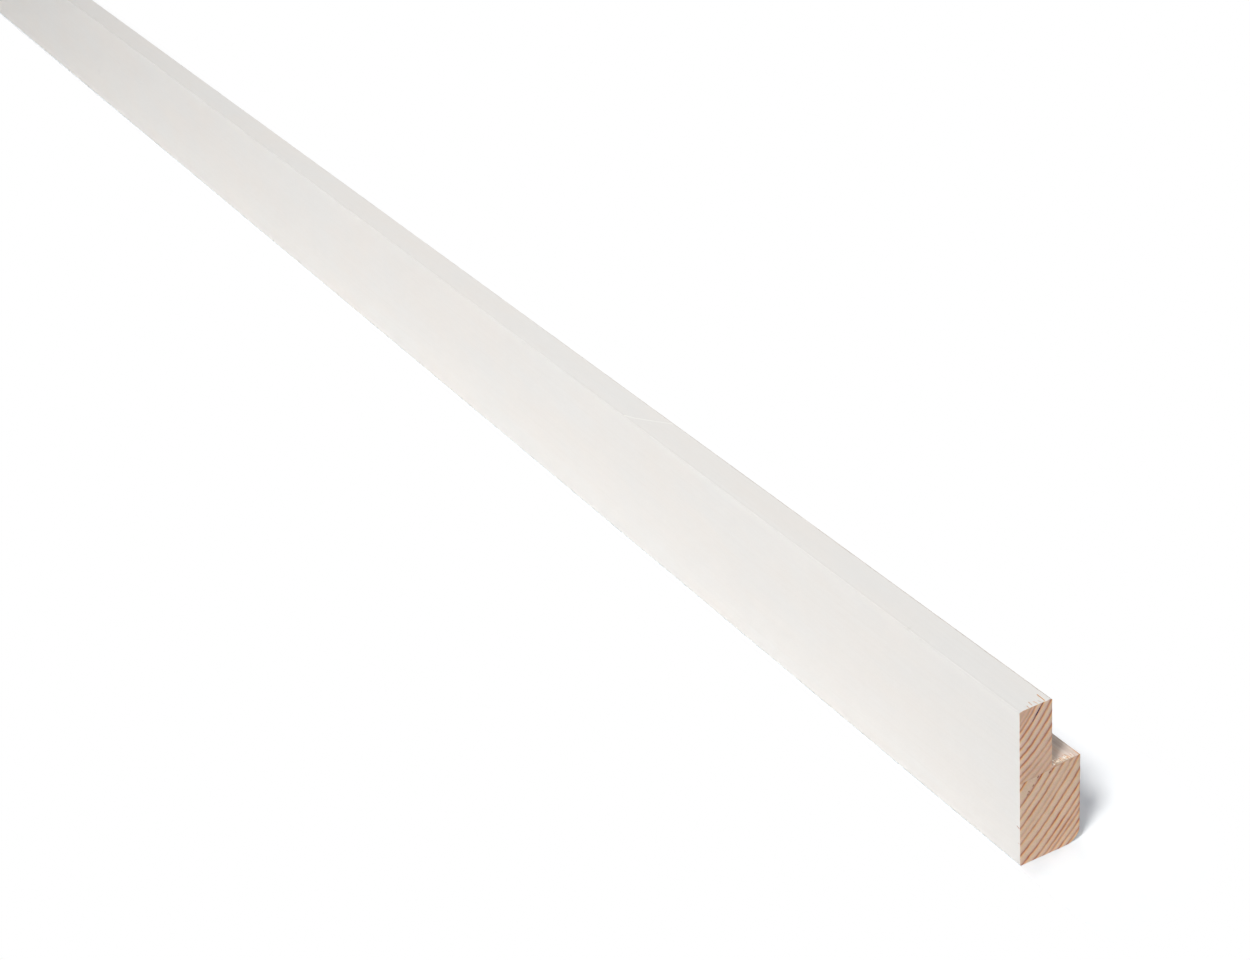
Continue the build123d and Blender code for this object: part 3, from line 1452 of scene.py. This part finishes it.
@dataclass(frozen=True)
class ShowPrimer(Finish):
    """The full coat of primer on the show face and the top, chipped at the ends and worn at the back."""

    name: str = "show_primer"
    roughness: float = 0.78
    bump: float = 0.035 * MM
    # A latewood line seen through the coat, and how much of it shows
    shown_line: Colour = paint(226, 214, 200)
    line_share: float = 0.05
    # The light scratch, and how much of it shows
    scratch: Colour = paint(248, 246, 241)
    scratch_share: float = 0.9
    # How ragged the scratch and the nick are
    scratch_fray: float = 0.8
    # The grey of the nick
    nick: Colour = paint(206, 202, 192)
    # What darkens the bare wood in a chip
    bare_tint: Colour = paint(232, 198, 142)
    # How ragged the chips are
    chip_fray: float = 0.6
    # Painted shade on the show face's arris, which tones down its highlight: how dark it is, and from
    # where to where that fades, in millimetres
    arris_painted_shade: float = 0.935
    arris_reach: Span = (0.35, 0.9)
    # Painted shade that makes the top a little darker than the show face, and where that sets in, in
    # millimetres
    top_painted_shade: float = 0.99
    top_shade_start: Span = (0.8, 3.0)
    # The rubbed coat along the top's back arris, and how that arris is worn
    rubbed: Colour = paint(176, 160, 142)
    back_wear: Wear = Wear(reach=0.42, start=850.0, full=1190.0, least=0.35, share=0.55)
    # How much the grain, the scratch and the chips stand out
    relief_shares: Triple = (0.25, 0.8, -1.2)

    def material(self, effects: Effects, section: RebatedSection) -> Material:
        """Builds the finish.

        Args:
            effects: the shared node groups.
            section: the board's section, which says where its arrises are.

        Returns:
            The material.
        """
        material, desk, shader = self.start()
        film = desk.group(effects.film)
        grain = desk.group(effects.grain)
        late = desk.times(grain["Latewood"], self.line_share)
        colour = desk.blend(late, film["Color"], self.shown_line)
        # Painted shade: the coat is darkened at the show face's arris and on the top
        colour = desk.toned(colour, self._tone(desk, section))
        scratch = effects.streaks(desk, SCRATCH, self.scratch_fray)
        colour = desk.blend(desk.times(scratch, self.scratch_share), colour, self.scratch)
        worn = effects.worn(desk, section.arris(section.tongue_back, section.top), self.back_wear)
        colour = desk.blend(desk.times(worn, self.back_wear.share), colour, self.rubbed)
        colour = desk.blend(effects.streaks(desk, NICK, self.scratch_fray), colour, self.nick)
        chips = effects.streaks(desk, CHIPS, self.chip_fray)
        colour = desk.blend(chips, colour, desk.tinted(grain["Color"], self.bare_tint))
        grain_share, scratch_share, chip_share = self.relief_shares
        height = desk.math("MULTIPLY_ADD", grain["Relief"], grain_share, film["Relief"])
        height = desk.math("MULTIPLY_ADD", scratch, scratch_share, height)
        self.dress(desk, shader, colour, desk.math("MULTIPLY_ADD", chips, chip_share, height))
        return material

    def _tone(self, desk: Desk, section: RebatedSection) -> Socket:
        """Works out the painted shade on the coat: darker at the show face's arris and on the top.

        Args:
            desk: the material's desk.
            section: the board's section.

        Returns:
            The tone, 1 on the show face.
        """
        _, across, up = desk.split(desk.spot())
        aside = desk.less(across, section.front / MM)
        below = desk.less(up, section.top / MM)
        reach = desk.vector("LENGTH", desk.combine(aside, below, 0.0))
        tone = desk.stretch(reach, *self.arris_reach, self.arris_painted_shade, 1.0)
        return desk.times(tone, desk.stretch(aside, *self.top_shade_start, 1.0, self.top_painted_shade))


@dataclass(frozen=True)
class ThinPrimer(Finish):
    """The thin coat on the back, the bottom and the rebate, with the grain showing through."""

    name: str = "thin_primer"
    roughness: float = 0.72
    bump: float = 0.05 * MM
    # The coat's patches
    warm: Colour = paint(231, 219, 208)
    cool: Colour = paint(223, 215, 208)
    # How much of the wood the coat hides where it is thinnest and thickest
    cover: Span = (0.66, 0.95)
    # The values of the film's cover that those stand for
    cover_range: Span = (0.36, 0.6)
    # How much less it hides on a latewood line
    line_cover: float = -0.12
    # How far in from a sawn end the coat is thinner, in millimetres, and how the cover changes so; the
    # fuller, paler coat further in is also painted light that lifts the rebate floor's shade
    end_thinning_and_lift_span: Span = (2.0, 9.0)
    end_cover_and_shade_lift: Span = (-0.12, 0.05)
    # How the rebate's outer arris and the top's back arris are worn
    outer_wear: Wear = Wear(reach=0.45, start=1195.5, full=1199.2, least=0.06, share=0.85)
    back_wear: Wear = Wear(reach=0.42, start=850.0, full=1190.0, least=0.35, share=0.6)
    # How ragged the chips are
    chip_fray: float = 0.6
    # The coat's streaks, and how dark and how pale they are
    streaks: Noise = Noise((0.16, 1.5, 1.5), 3.0, 0.65, turn=(0.3, 0.7))
    streak_tones: Span = (0.86, 1.08)
    # The torn primer and the bare wood at the rebate's cut edge
    flake: Colour = paint(243, 235, 226)
    bare: Colour = paint(208, 150, 112)
    # How far the rebate's floor is torn there, in millimetres
    torn_reach: float = 1.5
    # From where the tear fades, and where it ends, in reaches
    torn_edge: Span = (0.75, 1.15)
    # Between which places across the board it fades, in millimetres, and how much of it is left
    torn_until: Span = (6.0, 8.2)
    torn_least: float = 0.15
    # What moves the tear's edge, in reaches
    ragged: Noise = Noise((0.45, 1.7, 1.7), 3.0, 0.7, reach=4.0)
    # The pattern of flakes and bare wood
    patchy: Noise = Noise((0.8, 3.2, 3.2), 2.0, 0.6, turn=(0.49, 0.6))
    # How far below the rebate's floor the tear starts, and where it is full, in millimetres
    floor_start: Span = (0.5, 0.2)
    # Over what distance from the tongue the tear sets in, in millimetres
    corner_start: float = 0.3

    def material(self, effects: Effects, section: RebatedSection) -> Material:
        """Builds the finish.

        Args:
            effects: the shared node groups.
            section: the board's section, which says where its arrises are.

        Returns:
            The material.
        """
        material, desk, shader = self.start()
        film = desk.group(effects.film, {"Warm": self.warm, "Cool": self.cool})
        grain = desk.group(effects.grain)
        spot = desk.spot()
        along, across, up = desk.split(spot)
        inside = desk.less(CAD_BOX[1].x / MM, desk.math("ABSOLUTE", along))
        cover = desk.stretch(film["Cover"], *self.cover_range, *self.cover)
        cover = desk.math("MULTIPLY_ADD", grain["Latewood"], self.line_cover, cover)
        # Thinner coat at the cut ends, and partly painted light: the paler coat further in lightens the
        # shaded rebate floor
        end_thinning_and_lift = desk.stretch(inside, *self.end_thinning_and_lift_span, *self.end_cover_and_shade_lift)
        cover = desk.math("ADD", cover, end_thinning_and_lift, clamp=True)
        for wear, arris in (
            (self.outer_wear, section.arris(section.back, section.rebate_floor)),
            (self.back_wear, section.arris(section.tongue_back, section.top)),
        ):
            worn = effects.worn(desk, arris, wear)
            cover = desk.times(cover, desk.math("MULTIPLY_ADD", worn, -wear.share, 1.0))
        chips = effects.streaks(desk, (*NEAR_SHOW_CHIPS, *FAR_SHOW_CHIPS), self.chip_fray)
        cover = desk.times(cover, desk.less(1.0, chips))
        tone = desk.turned(spot, self.streaks, *self.streak_tones)
        colour = desk.blend(cover, grain["Color"], desk.toned(film["Color"], tone))
        torn = self._torn(desk, section, spot, inside, (across, up))
        bits = desk.ease(desk.pattern(spot, self.patchy), *self.patchy.turn)
        colour = desk.blend(torn, colour, desk.blend(bits, self.flake, self.bare))
        self.dress(desk, shader, colour, desk.math("ADD", grain["Relief"], film["Relief"]))
        return material

    def _torn(
        self, desk: Desk, section: RebatedSection, spot: Socket, inside: Socket, place: Iterable[Socket]
    ) -> Socket:
        """Finds where the coat is torn at the cut edge of the rebate's floor.

        Args:
            desk: the material's desk.
            section: the board's section.
            spot: each point's place, in millimetres.
            inside: its distance from the nearer sawn end, in millimetres.
            place: its place across and up, in millimetres.

        Returns:
            A value of 1 where the coat is torn.
        """
        across, up = place
        ratio = desk.stirred(desk.math("DIVIDE", inside, self.torn_reach), spot, self.ragged)
        floor, corner = section.rebate_floor / MM, section.tongue_back / MM
        deep, shallow = self.floor_start
        on_floor = desk.ease(up, floor - deep, floor - shallow)
        on_floor = desk.times(on_floor, desk.ease(across, corner, corner + self.corner_start))
        torn = desk.times(desk.fall(ratio, *self.torn_edge), on_floor)
        return desk.times(torn, desk.stretch(across, *self.torn_until, 1.0, self.torn_least))


@dataclass(frozen=True)
class SawnGrain(Finish):
    """The bare sawn ends, with their rings, the drying check and the specks of resin."""

    name: str = "sawn_grain"
    roughness: float = 0.85
    bump: float = 0.07 * MM
    # Painted shade deep in the drying check: its dark colour stands in for the shadow inside the crack,
    # which is nearly flat
    check: Colour = paint(50, 22, 68)
    check_fray: float = 0.1
    # The colour of the resin specks
    speck: Colour = paint(150, 92, 66)
    # How much of that colour shows
    speck_share: float = 0.75
    # How ragged the specks are
    speck_fray: float = 0.8

    def material(self, effects: Effects, section: RebatedSection) -> Material:
        """Builds the finish.

        Args:
            effects: the shared node groups.
            section: the board's section, which isn't needed here.

        Returns:
            The material.
        """
        material, desk, shader = self.start()
        grain = desk.group(effects.grain)
        specks = desk.times(effects.streaks(desk, SPECKS, self.speck_fray), self.speck_share)
        colour = desk.blend(specks, grain["Color"], self.speck)
        # Painted shade: the drying check is coloured dark where shadow would fall inside the crack
        colour = desk.blend(effects.streaks(desk, CHECK, self.check_fray), colour, self.check)
        self.dress(desk, shader, colour, grain["Relief"])
        return material


@dataclass(frozen=True)
class TornFibre(Finish):
    """The pale torn fibres that the saw leaves on its way out."""

    name: str = "torn_fibre"
    roughness: float = 0.8
    bump: float = 0.02 * MM
    # The pattern that gives each bit its colour
    bits: Noise = Noise((0.5, 2.8, 2.8), 2.0, 0.6)
    # Those colours, by the pattern's value: with primer on them, bare, and of latewood
    stops: tuple[tuple[float, Colour], ...] = (
        (0.44, paint(236, 226, 214)),
        (0.52, paint(228, 205, 176)),
        (0.58, paint(228, 205, 176)),
        (0.63, paint(214, 154, 114)),
    )

    def material(self, effects: Effects, section: RebatedSection) -> Material:
        """Builds the finish, in which each bit has a colour of its own.

        Args:
            effects: the shared node groups.
            section: the board's section, which isn't needed here.

        Returns:
            The material.
        """
        material, desk, shader = self.start()
        grain = desk.group(effects.grain)
        bits = desk.pattern(desk.spot(), self.bits)
        self.dress(desk, shader, desk.ramp(bits, self.stops), grain["Relief"])
        return material


@dataclass(frozen=True)
class Fringe:
    """A row of torn fibres along one cut edge, in millimetres."""

    name: str
    # Its two ends
    start: Place
    end: Place
    # The way that the fibres stand
    lean: Place
    # How many there are
    count: int
    # The length of the longest, and their thickness at the root
    length: float
    thickness: float
    # The length of the shortest, as a share of the longest
    shortest: float
    # How far their roots stray along the board
    scatter: float
    # How far their directions stray, as a share of the lean
    spread: float
    # What their random places are drawn from
    seed: int


class FringeTree:
    """The Geometry Nodes tree that grows a fringe of torn fibres."""

    NUMBERS = ("Length", "Thickness", "Shortest", "Scatter", "Spread")
    PLACES = ("Start", "End", "Lean")
    WHOLE = ("Count", "Seed")

    # One fibre, one unit long: its middle and its tip, its facets and how thin its tip is
    BEND = ((2.2, 0.0, 0.5), (0.6, 0.0, 1.0))
    FACETS = 5
    TIP = 0.12

    def __init__(self) -> None:
        """Builds the tree once."""
        inputs = {"Geometry": "Geometry"}
        for kind, names in (("Vector", self.PLACES), ("Float", self.NUMBERS), ("Int", self.WHOLE)):
            inputs |= dict.fromkeys(names, kind)
        inputs |= {"Material": "Material"}
        self.tree = node_group("torn fibre fringe", inputs, {"Geometry": "Geometry"}, "GeometryNodeTree")
        self._grow()

    def _grow(self) -> None:
        """Grows bent, tapered fibres from points spread along a line."""
        desk = Desk(self.tree)
        seed = desk.given("Seed")
        ends = {"Start Location": desk.given("Start"), "Offset": desk.given("End")}
        row = desk.add("GeometryNodeMeshLine", {"Count": desk.given("Count")} | ends, mode="END_POINTS")
        scatter = desk.combine(desk.given("Scatter"), desk.given("Scatter"), 0.0)
        strewn = self._stray(desk, scatter, seed)
        moved = desk.add("GeometryNodeSetPosition", {"Geometry": row.outputs[0], "Offset": strewn})
        spread = desk.combine(*[desk.given("Spread")] * 3)
        swayed = self._stray(desk, spread, desk.math("ADD", seed, 1.0))
        leaning = desk.vector("ADD", desk.given("Lean"), swayed)
        turned = desk.add("FunctionNodeAlignRotationToVector", {"Vector": leaning}, axis="Z")
        longest = desk.combine(desk.given("Thickness"), desk.given("Thickness"), desk.given("Length"))
        shortest = desk.vector("SCALE", longest, scale=desk.given("Shortest"))
        size = self._random(desk, shortest, longest, desk.math("ADD", seed, 2.0))
        inputs = {"Points": moved.outputs[0], "Instance": self._fibre(desk)}
        inputs |= {"Rotation": turned.outputs[0], "Scale": size}
        grown = desk.add("GeometryNodeInstanceOnPoints", inputs)
        real = desk.add("GeometryNodeRealizeInstances", {"Geometry": grown.outputs[0]})
        inputs = {"Geometry": real.outputs[0], "Material": desk.given("Material")}
        desk.give({"Geometry": desk.add("GeometryNodeSetMaterial", inputs).outputs[0]})

    @staticmethod
    def _random(desk: Desk, low: Socket, high: Socket, seed: Socket) -> Socket:
        """Draws a random vector for each point.

        Args:
            desk: the tree's desk.
            low: its least value.
            high: its greatest value.
            seed: what it is drawn from.

        Returns:
            The vector.
        """
        node = desk.add("FunctionNodeRandomValue", data_type="FLOAT_VECTOR")
        for socket, value in ((0, low), (1, high), ("Seed", seed)):
            desk.feed(node.inputs[socket], value)
        return node.outputs[0]

    def _stray(self, desk: Desk, reach: Socket, seed: Socket) -> Socket:
        """Draws a random vector for each point, up to a reach to both sides."""
        return self._random(desk, desk.vector("SCALE", reach, scale=-1.0), reach, seed)

    def _fibre(self, desk: Desk) -> Socket:
        """Makes one fibre: a bent spike, one unit long and two units thick at the root."""
        middle, tip = self.BEND
        bend = {"Resolution": self.FACETS, "Start": (0.0, 0.0, 0.0), "Middle": middle, "End": tip}
        bent = desk.add("GeometryNodeCurveQuadraticBezier", bend)
        share = desk.add("GeometryNodeSplineParameter").outputs["Factor"]
        taper = desk.stretch(share, 0.0, 1.0, 1.0, self.TIP)
        thinned = desk.add("GeometryNodeSetCurveRadius", {"Curve": bent.outputs[0], "Radius": taper})
        ring = {"Resolution": self.FACETS, "Radius": 1.0}
        circle = desk.add("GeometryNodeCurvePrimitiveCircle", ring, mode="RADIUS")
        inputs = {"Curve": thinned.outputs[0], "Profile Curve": circle.outputs[0], "Fill Caps": True}
        return desk.add("GeometryNodeCurveToMesh", inputs).outputs[0]

    def values(self, fringe: Fringe, material: Material) -> dict[str, Any]:
        """Gives the tree's inputs for one fringe, in metres.

        Args:
            fringe: the fringe.
            material: what its fibres are finished with.

        Returns:
            The inputs, by name.
        """
        return {
            "Start": tuple(v * MM for v in fringe.start),
            "End": tuple(v * MM for v in fringe.end),
            "Lean": fringe.lean,
            "Count": fringe.count,
            "Length": fringe.length * MM,
            "Thickness": fringe.thickness / 2 * MM,
            "Shortest": fringe.shortest,
            "Scatter": fringe.scatter * MM,
            "Spread": fringe.spread,
            "Seed": fringe.seed,
            "Material": material,
        }

    def row(self, fringe: Fringe, material: Material) -> tuple[Array, list[list[int]]]:
        """Grows one fringe and reads its mesh.

        Args:
            fringe: the fringe.
            material: what its fibres are finished with.

        Returns:
            Its points, in metres, and its faces.
        """
        grower = placed(fringe.name, bpy.data.meshes.new(fringe.name))
        modifier = grower.modifiers.new("fringe", "NODES")
        modifier.node_group = self.tree
        sockets = {s.name: s.identifier for s in self.tree.interface.items_tree if s.in_out == "INPUT"}
        for key, value in self.values(fringe, material).items():
            modifier[sockets[key]] = value
        grown = grower.evaluated_get(bpy.context.evaluated_depsgraph_get())
        mesh = bpy.data.meshes.new_from_object(grown)
        spots = np.empty(len(mesh.vertices) * 3)
        mesh.vertices.foreach_get("co", spots)
        faces = [list(polygon.vertices) for polygon in mesh.polygons]
        grower.modifiers.remove(modifier)
        bpy.data.objects.remove(grower)
        bpy.data.meshes.remove(mesh)
        return spots.reshape(-1, 3), faces

    def grow(self, name: str, fringes: Iterable[Fringe], material: Material) -> Object:
        """Grows several fringes and joins them into one piece.

        Args:
            name: the piece's name.
            fringes: its rows of fibres.
            material: what the fibres are finished with.

        Returns:
            The finished piece, as a plain mesh inside the board's box.
        """
        low, high = (np.array(corner) for corner in CAD_BOX)
        vertices: list[tuple[float, ...]] = []
        faces: list[list[int]] = []
        for fringe in fringes:
            spots, row_faces = self.row(fringe, material)
            faces.extend([len(vertices) + k for k in face] for face in row_faces)
            vertices.extend(tuple(spot) for spot in np.clip(spots, low, high))
        joined = bpy.data.meshes.new(name)
        joined.from_pydata(vertices, [], faces)
        joined.shade_smooth()
        joined.update()
        return finished_piece(name, joined, [material])


@dataclass
class SawnEdges:
    """The torn fibres at the two cut edges of the rebate."""

    section: RebatedSection
    # Half of the board's length, in metres
    half_length: float
    # What the fibres at each end are drawn from
    seeds: tuple[tuple[End, int], ...] = ((End.NEAR, 7), (End.FAR, 23))
    # How many long shreds lie on the floor at each end
    shreds: tuple[tuple[End, int], ...] = ((End.NEAR, 20), (End.FAR, 14))
    # How many short fibres stand there
    fibres: tuple[tuple[End, int], ...] = ((End.NEAR, 14), (End.FAR, 10))

    def fringes(self, end: End) -> list[Fringe]:
        """Lists the rows of fibres at one end.

        Args:
            end: which end.

        Returns:
            Its rows: on the rebate's floor and in its corner.
        """
        out = end.value
        cut = out * self.half_length / MM
        floor, corner = self.section.rebate_floor / MM, self.section.tongue_back / MM
        back = self.section.back / MM
        seed = dict(self.seeds)[end]
        return [
            Fringe(
                name="floor_shreds",
                start=(cut - 1.35 * out, corner + 1.5, floor + 0.02),
                end=(cut - 1.35 * out, back - 2.4, floor + 0.02),
                lean=(1.0 * out, 0.05, 0.12),
                count=dict(self.shreds)[end], length=1.5, thickness=0.32,
                shortest=0.3, scatter=0.5, spread=0.14, seed=seed,
            ),
            Fringe(
                name="floor_fibres",
                start=(cut - 0.4 * out, corner + 1.2, floor - 0.12),
                end=(cut - 0.4 * out, back - 2.8, floor - 0.12),
                lean=(0.5 * out, 0.0, 1.0),
                count=dict(self.fibres)[end], length=0.45, thickness=0.26,
                shortest=0.3, scatter=0.3, spread=0.5, seed=seed + 3,
            ),
            Fringe(
                name="corner_tuft",
                start=(cut - 0.5 * out, corner + 1.0, floor),
                end=(cut - 0.5 * out, corner + 1.7, floor),
                lean=(0.6 * out, 0.15, 0.8),
                count=6, length=0.85, thickness=0.36,
                shortest=0.5, scatter=0.15, spread=0.25, seed=seed + 5,
            ),
            Fringe(
                name="corner_splinter",
                start=(cut - 0.34 * out, corner + 0.05, floor + 1.8),
                end=(cut - 0.31 * out, corner + 0.05, floor + 1.7),
                lean=(0.0, 1.0, -0.95),
                count=2, length=1.75, thickness=0.24,
                shortest=0.9, scatter=0.01, spread=0.02, seed=seed + 9,
            ),
        ]


@dataclass(frozen=True)
class SoftLamp:
    """A round soft lamp that throws a pool of light, in metres."""

    name: str
    # The point of the board that it is hung from, and the way from there to the lamp
    over: float
    direction: Place
    # Where along the board its pool is brightest
    aim: float
    radius: float
    # Its power, in watts
    power: float
    # How wide it shines, in degrees
    cone: float
    colour: Colour = (1.0, 1.0, 1.0)
    # How far away it is
    distance: float = 3.0

    def hang(self) -> Object:
        """Hangs the lamp and turns it to its aim."""
        data = bpy.data.lights.new(self.name, "SPOT")
        data.shadow_soft_size = self.radius
        data.energy = self.power
        data.spot_size = math.radians(self.cone)
        data.spot_blend = 1.0
        data.color = self.colour
        lamp = placed(self.name, data)
        lamp.location = Vector((self.over, 0.0, 0.0)) + Vector(self.direction).normalized() * self.distance
        away = lamp.location - Vector((self.aim, 0.0, 0.0))
        lamp.rotation_euler = away.to_track_quat("Z", "Y").to_euler()
        return lamp


@dataclass
class Studio:
    """The pale floor, the soft light and the camera, in metres."""

    # How much light comes from all round, and its colour
    sky: float = 0.12
    sky_colour: Colour = (0.95, 1.0, 1.05)
    # How much of the light the floor gives back to the board
    floor_tone: float = 0.8
    # How pale the floor looks by itself, next to the board
    floor_seen: Colour = (1.0, 1.0, 0.985)
    # How much its shade is lightened, by colour
    floor_lift: Colour = (0.072, 0.095, 0.131)
    # The floor's radius, and how many corners its rim has
    floor_radius: float = 14.0
    floor_corners: int = 96
    # How far below the board it lies
    floor_depth: float = 0.02 * MM
    # From where to where away from the board the floor turns plain white
    shade_reach: Span = (0.020, 0.036)
    # Over what length the far end's shade stops short of the show face's
    front_start: float = 0.04
    # How many times further away the floor before the show face counts
    front_share: float = 40.0
    # Painted contact shadow: how much darker, by colour, the floor is painted against the board, and how
    # far that reaches
    painted_contact_shade: Colour = (0.24, 0.205, 0.19)
    contact_reach: float = 0.007
    # Where across and where past the board's ends it is held back, and how much of it
    contact_corner: Span = (0.005, 0.012)
    contact_end: Span = (-4 * MM, MM)
    contact_held: float = 0.9
    # Where the camera stands, and its turn about X, Y and Z, in degrees
    camera_place: Place = (1.54185, -0.27205, 0.34667)
    camera_turn: Triple = (61.2965, 5.0492, 61.0911)
    # Its focal length and the width of its picture, in millimetres
    camera_lens: float = 64.187
    camera_width: float = 36.0
    # The nearest that it sees
    camera_near: float = 0.01
    lamps: tuple[SoftLamp, ...] = (
        SoftLamp(
            name="key_near", over=1.2, direction=(0.300, -0.520, 0.855), aim=0.83,
            radius=0.38, power=351.0, cone=39.0,
        ),
        SoftLamp(
            name="key_far", over=-0.8, direction=(-0.2, -0.507, 0.808), aim=-1.0,
            radius=0.40, power=300.0, cone=34.0, colour=(1.0, 0.98, 0.95),
        ),
        SoftLamp(
            name="fill_back", over=0.1, direction=(0.05, 0.99, 0.11), aim=0.1,
            radius=0.25, power=260.0, cone=130.0,
        ),
        SoftLamp(
            name="fill_front", over=0.5, direction=(0.1, -0.93, 0.33), aim=0.5,
            radius=0.60, power=36.0, cone=90.0,
        ),
    )

    def build(self) -> None:
        """Sets up the floor, the world, the lamps and the camera."""
        self.lay_floor()
        self.light_world()
        for lamp in self.lamps:
            lamp.hang()
        self.place_camera()
        bpy.context.scene.view_settings.view_transform = "Standard"

    def place_camera(self) -> None:
        """Stands the camera where the photograph was taken from."""
        data = bpy.data.cameras.new("camera")
        data.sensor_width = self.camera_width
        data.sensor_fit = "HORIZONTAL"
        data.lens = self.camera_lens
        data.clip_start = self.camera_near
        camera = placed("camera", data)
        camera.location = self.camera_place
        camera.rotation_euler = [math.radians(angle) for angle in self.camera_turn]
        bpy.context.scene.camera = camera

    @staticmethod
    def seen_directly(desk: Desk) -> Socket:
        """Gives 1 where the camera sees a place, straight or through gloss or glass."""
        path = desk.add("ShaderNodeLightPath").outputs
        glossy = desk.math("MAXIMUM", path["Is Camera Ray"], path["Is Glossy Ray"])
        return desk.math("MAXIMUM", glossy, path["Is Transmission Ray"])

    def light_world(self) -> None:
        """Lights the board evenly from all round, with white where the camera looks past the floor."""
        world = bpy.data.worlds.new("studio")
        bpy.context.scene.world = world
        world.use_nodes = True
        world.node_tree.nodes.clear()
        desk = Desk(world.node_tree)
        inputs = {"Color": self.sky_colour, "Strength": self.sky}
        soft = desk.add("ShaderNodeBackground", inputs).outputs[0]
        white = desk.add("ShaderNodeBackground", {"Color": (1.0, 1.0, 1.0), "Strength": 1.0}).outputs[0]
        both = desk.add("ShaderNodeMixShader", {0: self.seen_directly(desk), 1: soft, 2: white})
        desk.add("ShaderNodeOutputWorld", {0: both.outputs[0]})

    def lay_floor(self) -> None:
        """Lays a round floor that keeps the board's shadow and is plain white elsewhere."""
        mesh = bpy.data.meshes.new("floor")
        turns = [2 * math.pi * k / self.floor_corners for k in range(self.floor_corners)]
        radius, height = self.floor_radius, -self.floor_depth
        rim = [(radius * math.cos(turn), radius * math.sin(turn), height) for turn in turns]
        mesh.from_pydata(rim, [], [list(range(self.floor_corners))])
        floor = placed("floor", mesh)
        mesh.materials.append(self.floor_material())

    def floor_material(self) -> Material:
        """Builds the floor's paint: pale for the light it gives back, white where it is looked at."""
        material = bpy.data.materials.new("studio_floor")
        material.use_nodes = True
        material.node_tree.nodes.clear()
        desk = Desk(material.node_tree)
        away, fall = self._contact(desk)
        # Painted shadow: the floor's seen colour is darkened right against the board
        pairs = zip(self.painted_contact_shade, self.floor_seen)
        seen_tone = desk.combine(*(desk.math("MULTIPLY_ADD", fall, -depth, pale) for depth, pale in pairs))
        bounce = desk.add("ShaderNodeBsdfDiffuse", {"Color": (self.floor_tone,) * 3}).outputs[0]
        seen = desk.add("ShaderNodeBsdfDiffuse", {"Color": seen_tone}).outputs[0]
        lift = desk.add("ShaderNodeEmission", {"Color": self.floor_lift, "Strength": 1.0}).outputs[0]
        shaded = desk.add("ShaderNodeAddShader", {0: seen, 1: lift}).outputs[0]
        white = desk.add("ShaderNodeEmission", {"Strength": 1.0}).outputs[0]
        plain = desk.ease(away, *self.shade_reach)
        looked_at = desk.add("ShaderNodeMixShader", {0: plain, 1: shaded, 2: white}).outputs[0]
        both = desk.add("ShaderNodeMixShader", {0: self.seen_directly(desk), 1: bounce, 2: looked_at})
        desk.add("ShaderNodeOutputMaterial", {0: both.outputs[0]})
        return material

    def _contact(self, desk: Desk) -> tuple[Socket, Socket]:
        """Works out the painted contact shadow right against the board.

        Args:
            desk: the floor's desk.

        Returns:
            How far each place of the floor is from the board, in metres, and how deep the painted shadow
            is there.
        """
        along, across, _ = desk.split(desk.place())
        low, high = CAD_BOX
        from_end = desk.less(desk.math("ABSOLUTE", along), high.x)
        beside = desk.math("MAXIMUM", from_end, 0.0)
        behind = desk.math("MAXIMUM", desk.less(across, high.y), 0.0)
        before = desk.math("MAXIMUM", desk.less(low.y, across), 0.0)
        share = desk.stretch(along, low.x, low.x + self.front_start, 1.0, self.front_share)
        before = desk.times(before, share)
        away = desk.vector("LENGTH", desk.combine(beside, behind, before))
        fall = desk.math("EXPONENT", desk.math("DIVIDE", away, -self.contact_reach))
        past = desk.ease(desk.math("ABSOLUTE", across), *self.contact_corner)
        past = desk.times(past, desk.ease(from_end, *self.contact_end))
        held = desk.math("MULTIPLY_ADD", past, -self.contact_held, 1.0)
        return away, desk.times(fall, held)


def main() -> None:
    """Builds the board, its torn fibres and the studio, and reports each piece."""
    logging.basicConfig(level=logging.INFO, format="%(name)s %(message)s")
    low, high = CAD_BOX
    half_length = (high.x - low.x) / 2
    section = RebatedSection.from_frame()
    effects = Effects.build()
    finishes = (ShowPrimer(), ThinPrimer(), SawnGrain())
    PrimedBoard(section, half_length).build([finish.material(effects, section) for finish in finishes])
    fibre = TornFibre().material(effects, section)
    tree = FringeTree()
    edges = SawnEdges(section, half_length)
    for end, name in ((End.NEAR, "saw_fibres_near"), (End.FAR, "saw_fibres_far")):
        tree.grow(name, edges.fringes(end), fibre)
    Studio().build()


if __name__ == "__main__":
    main()
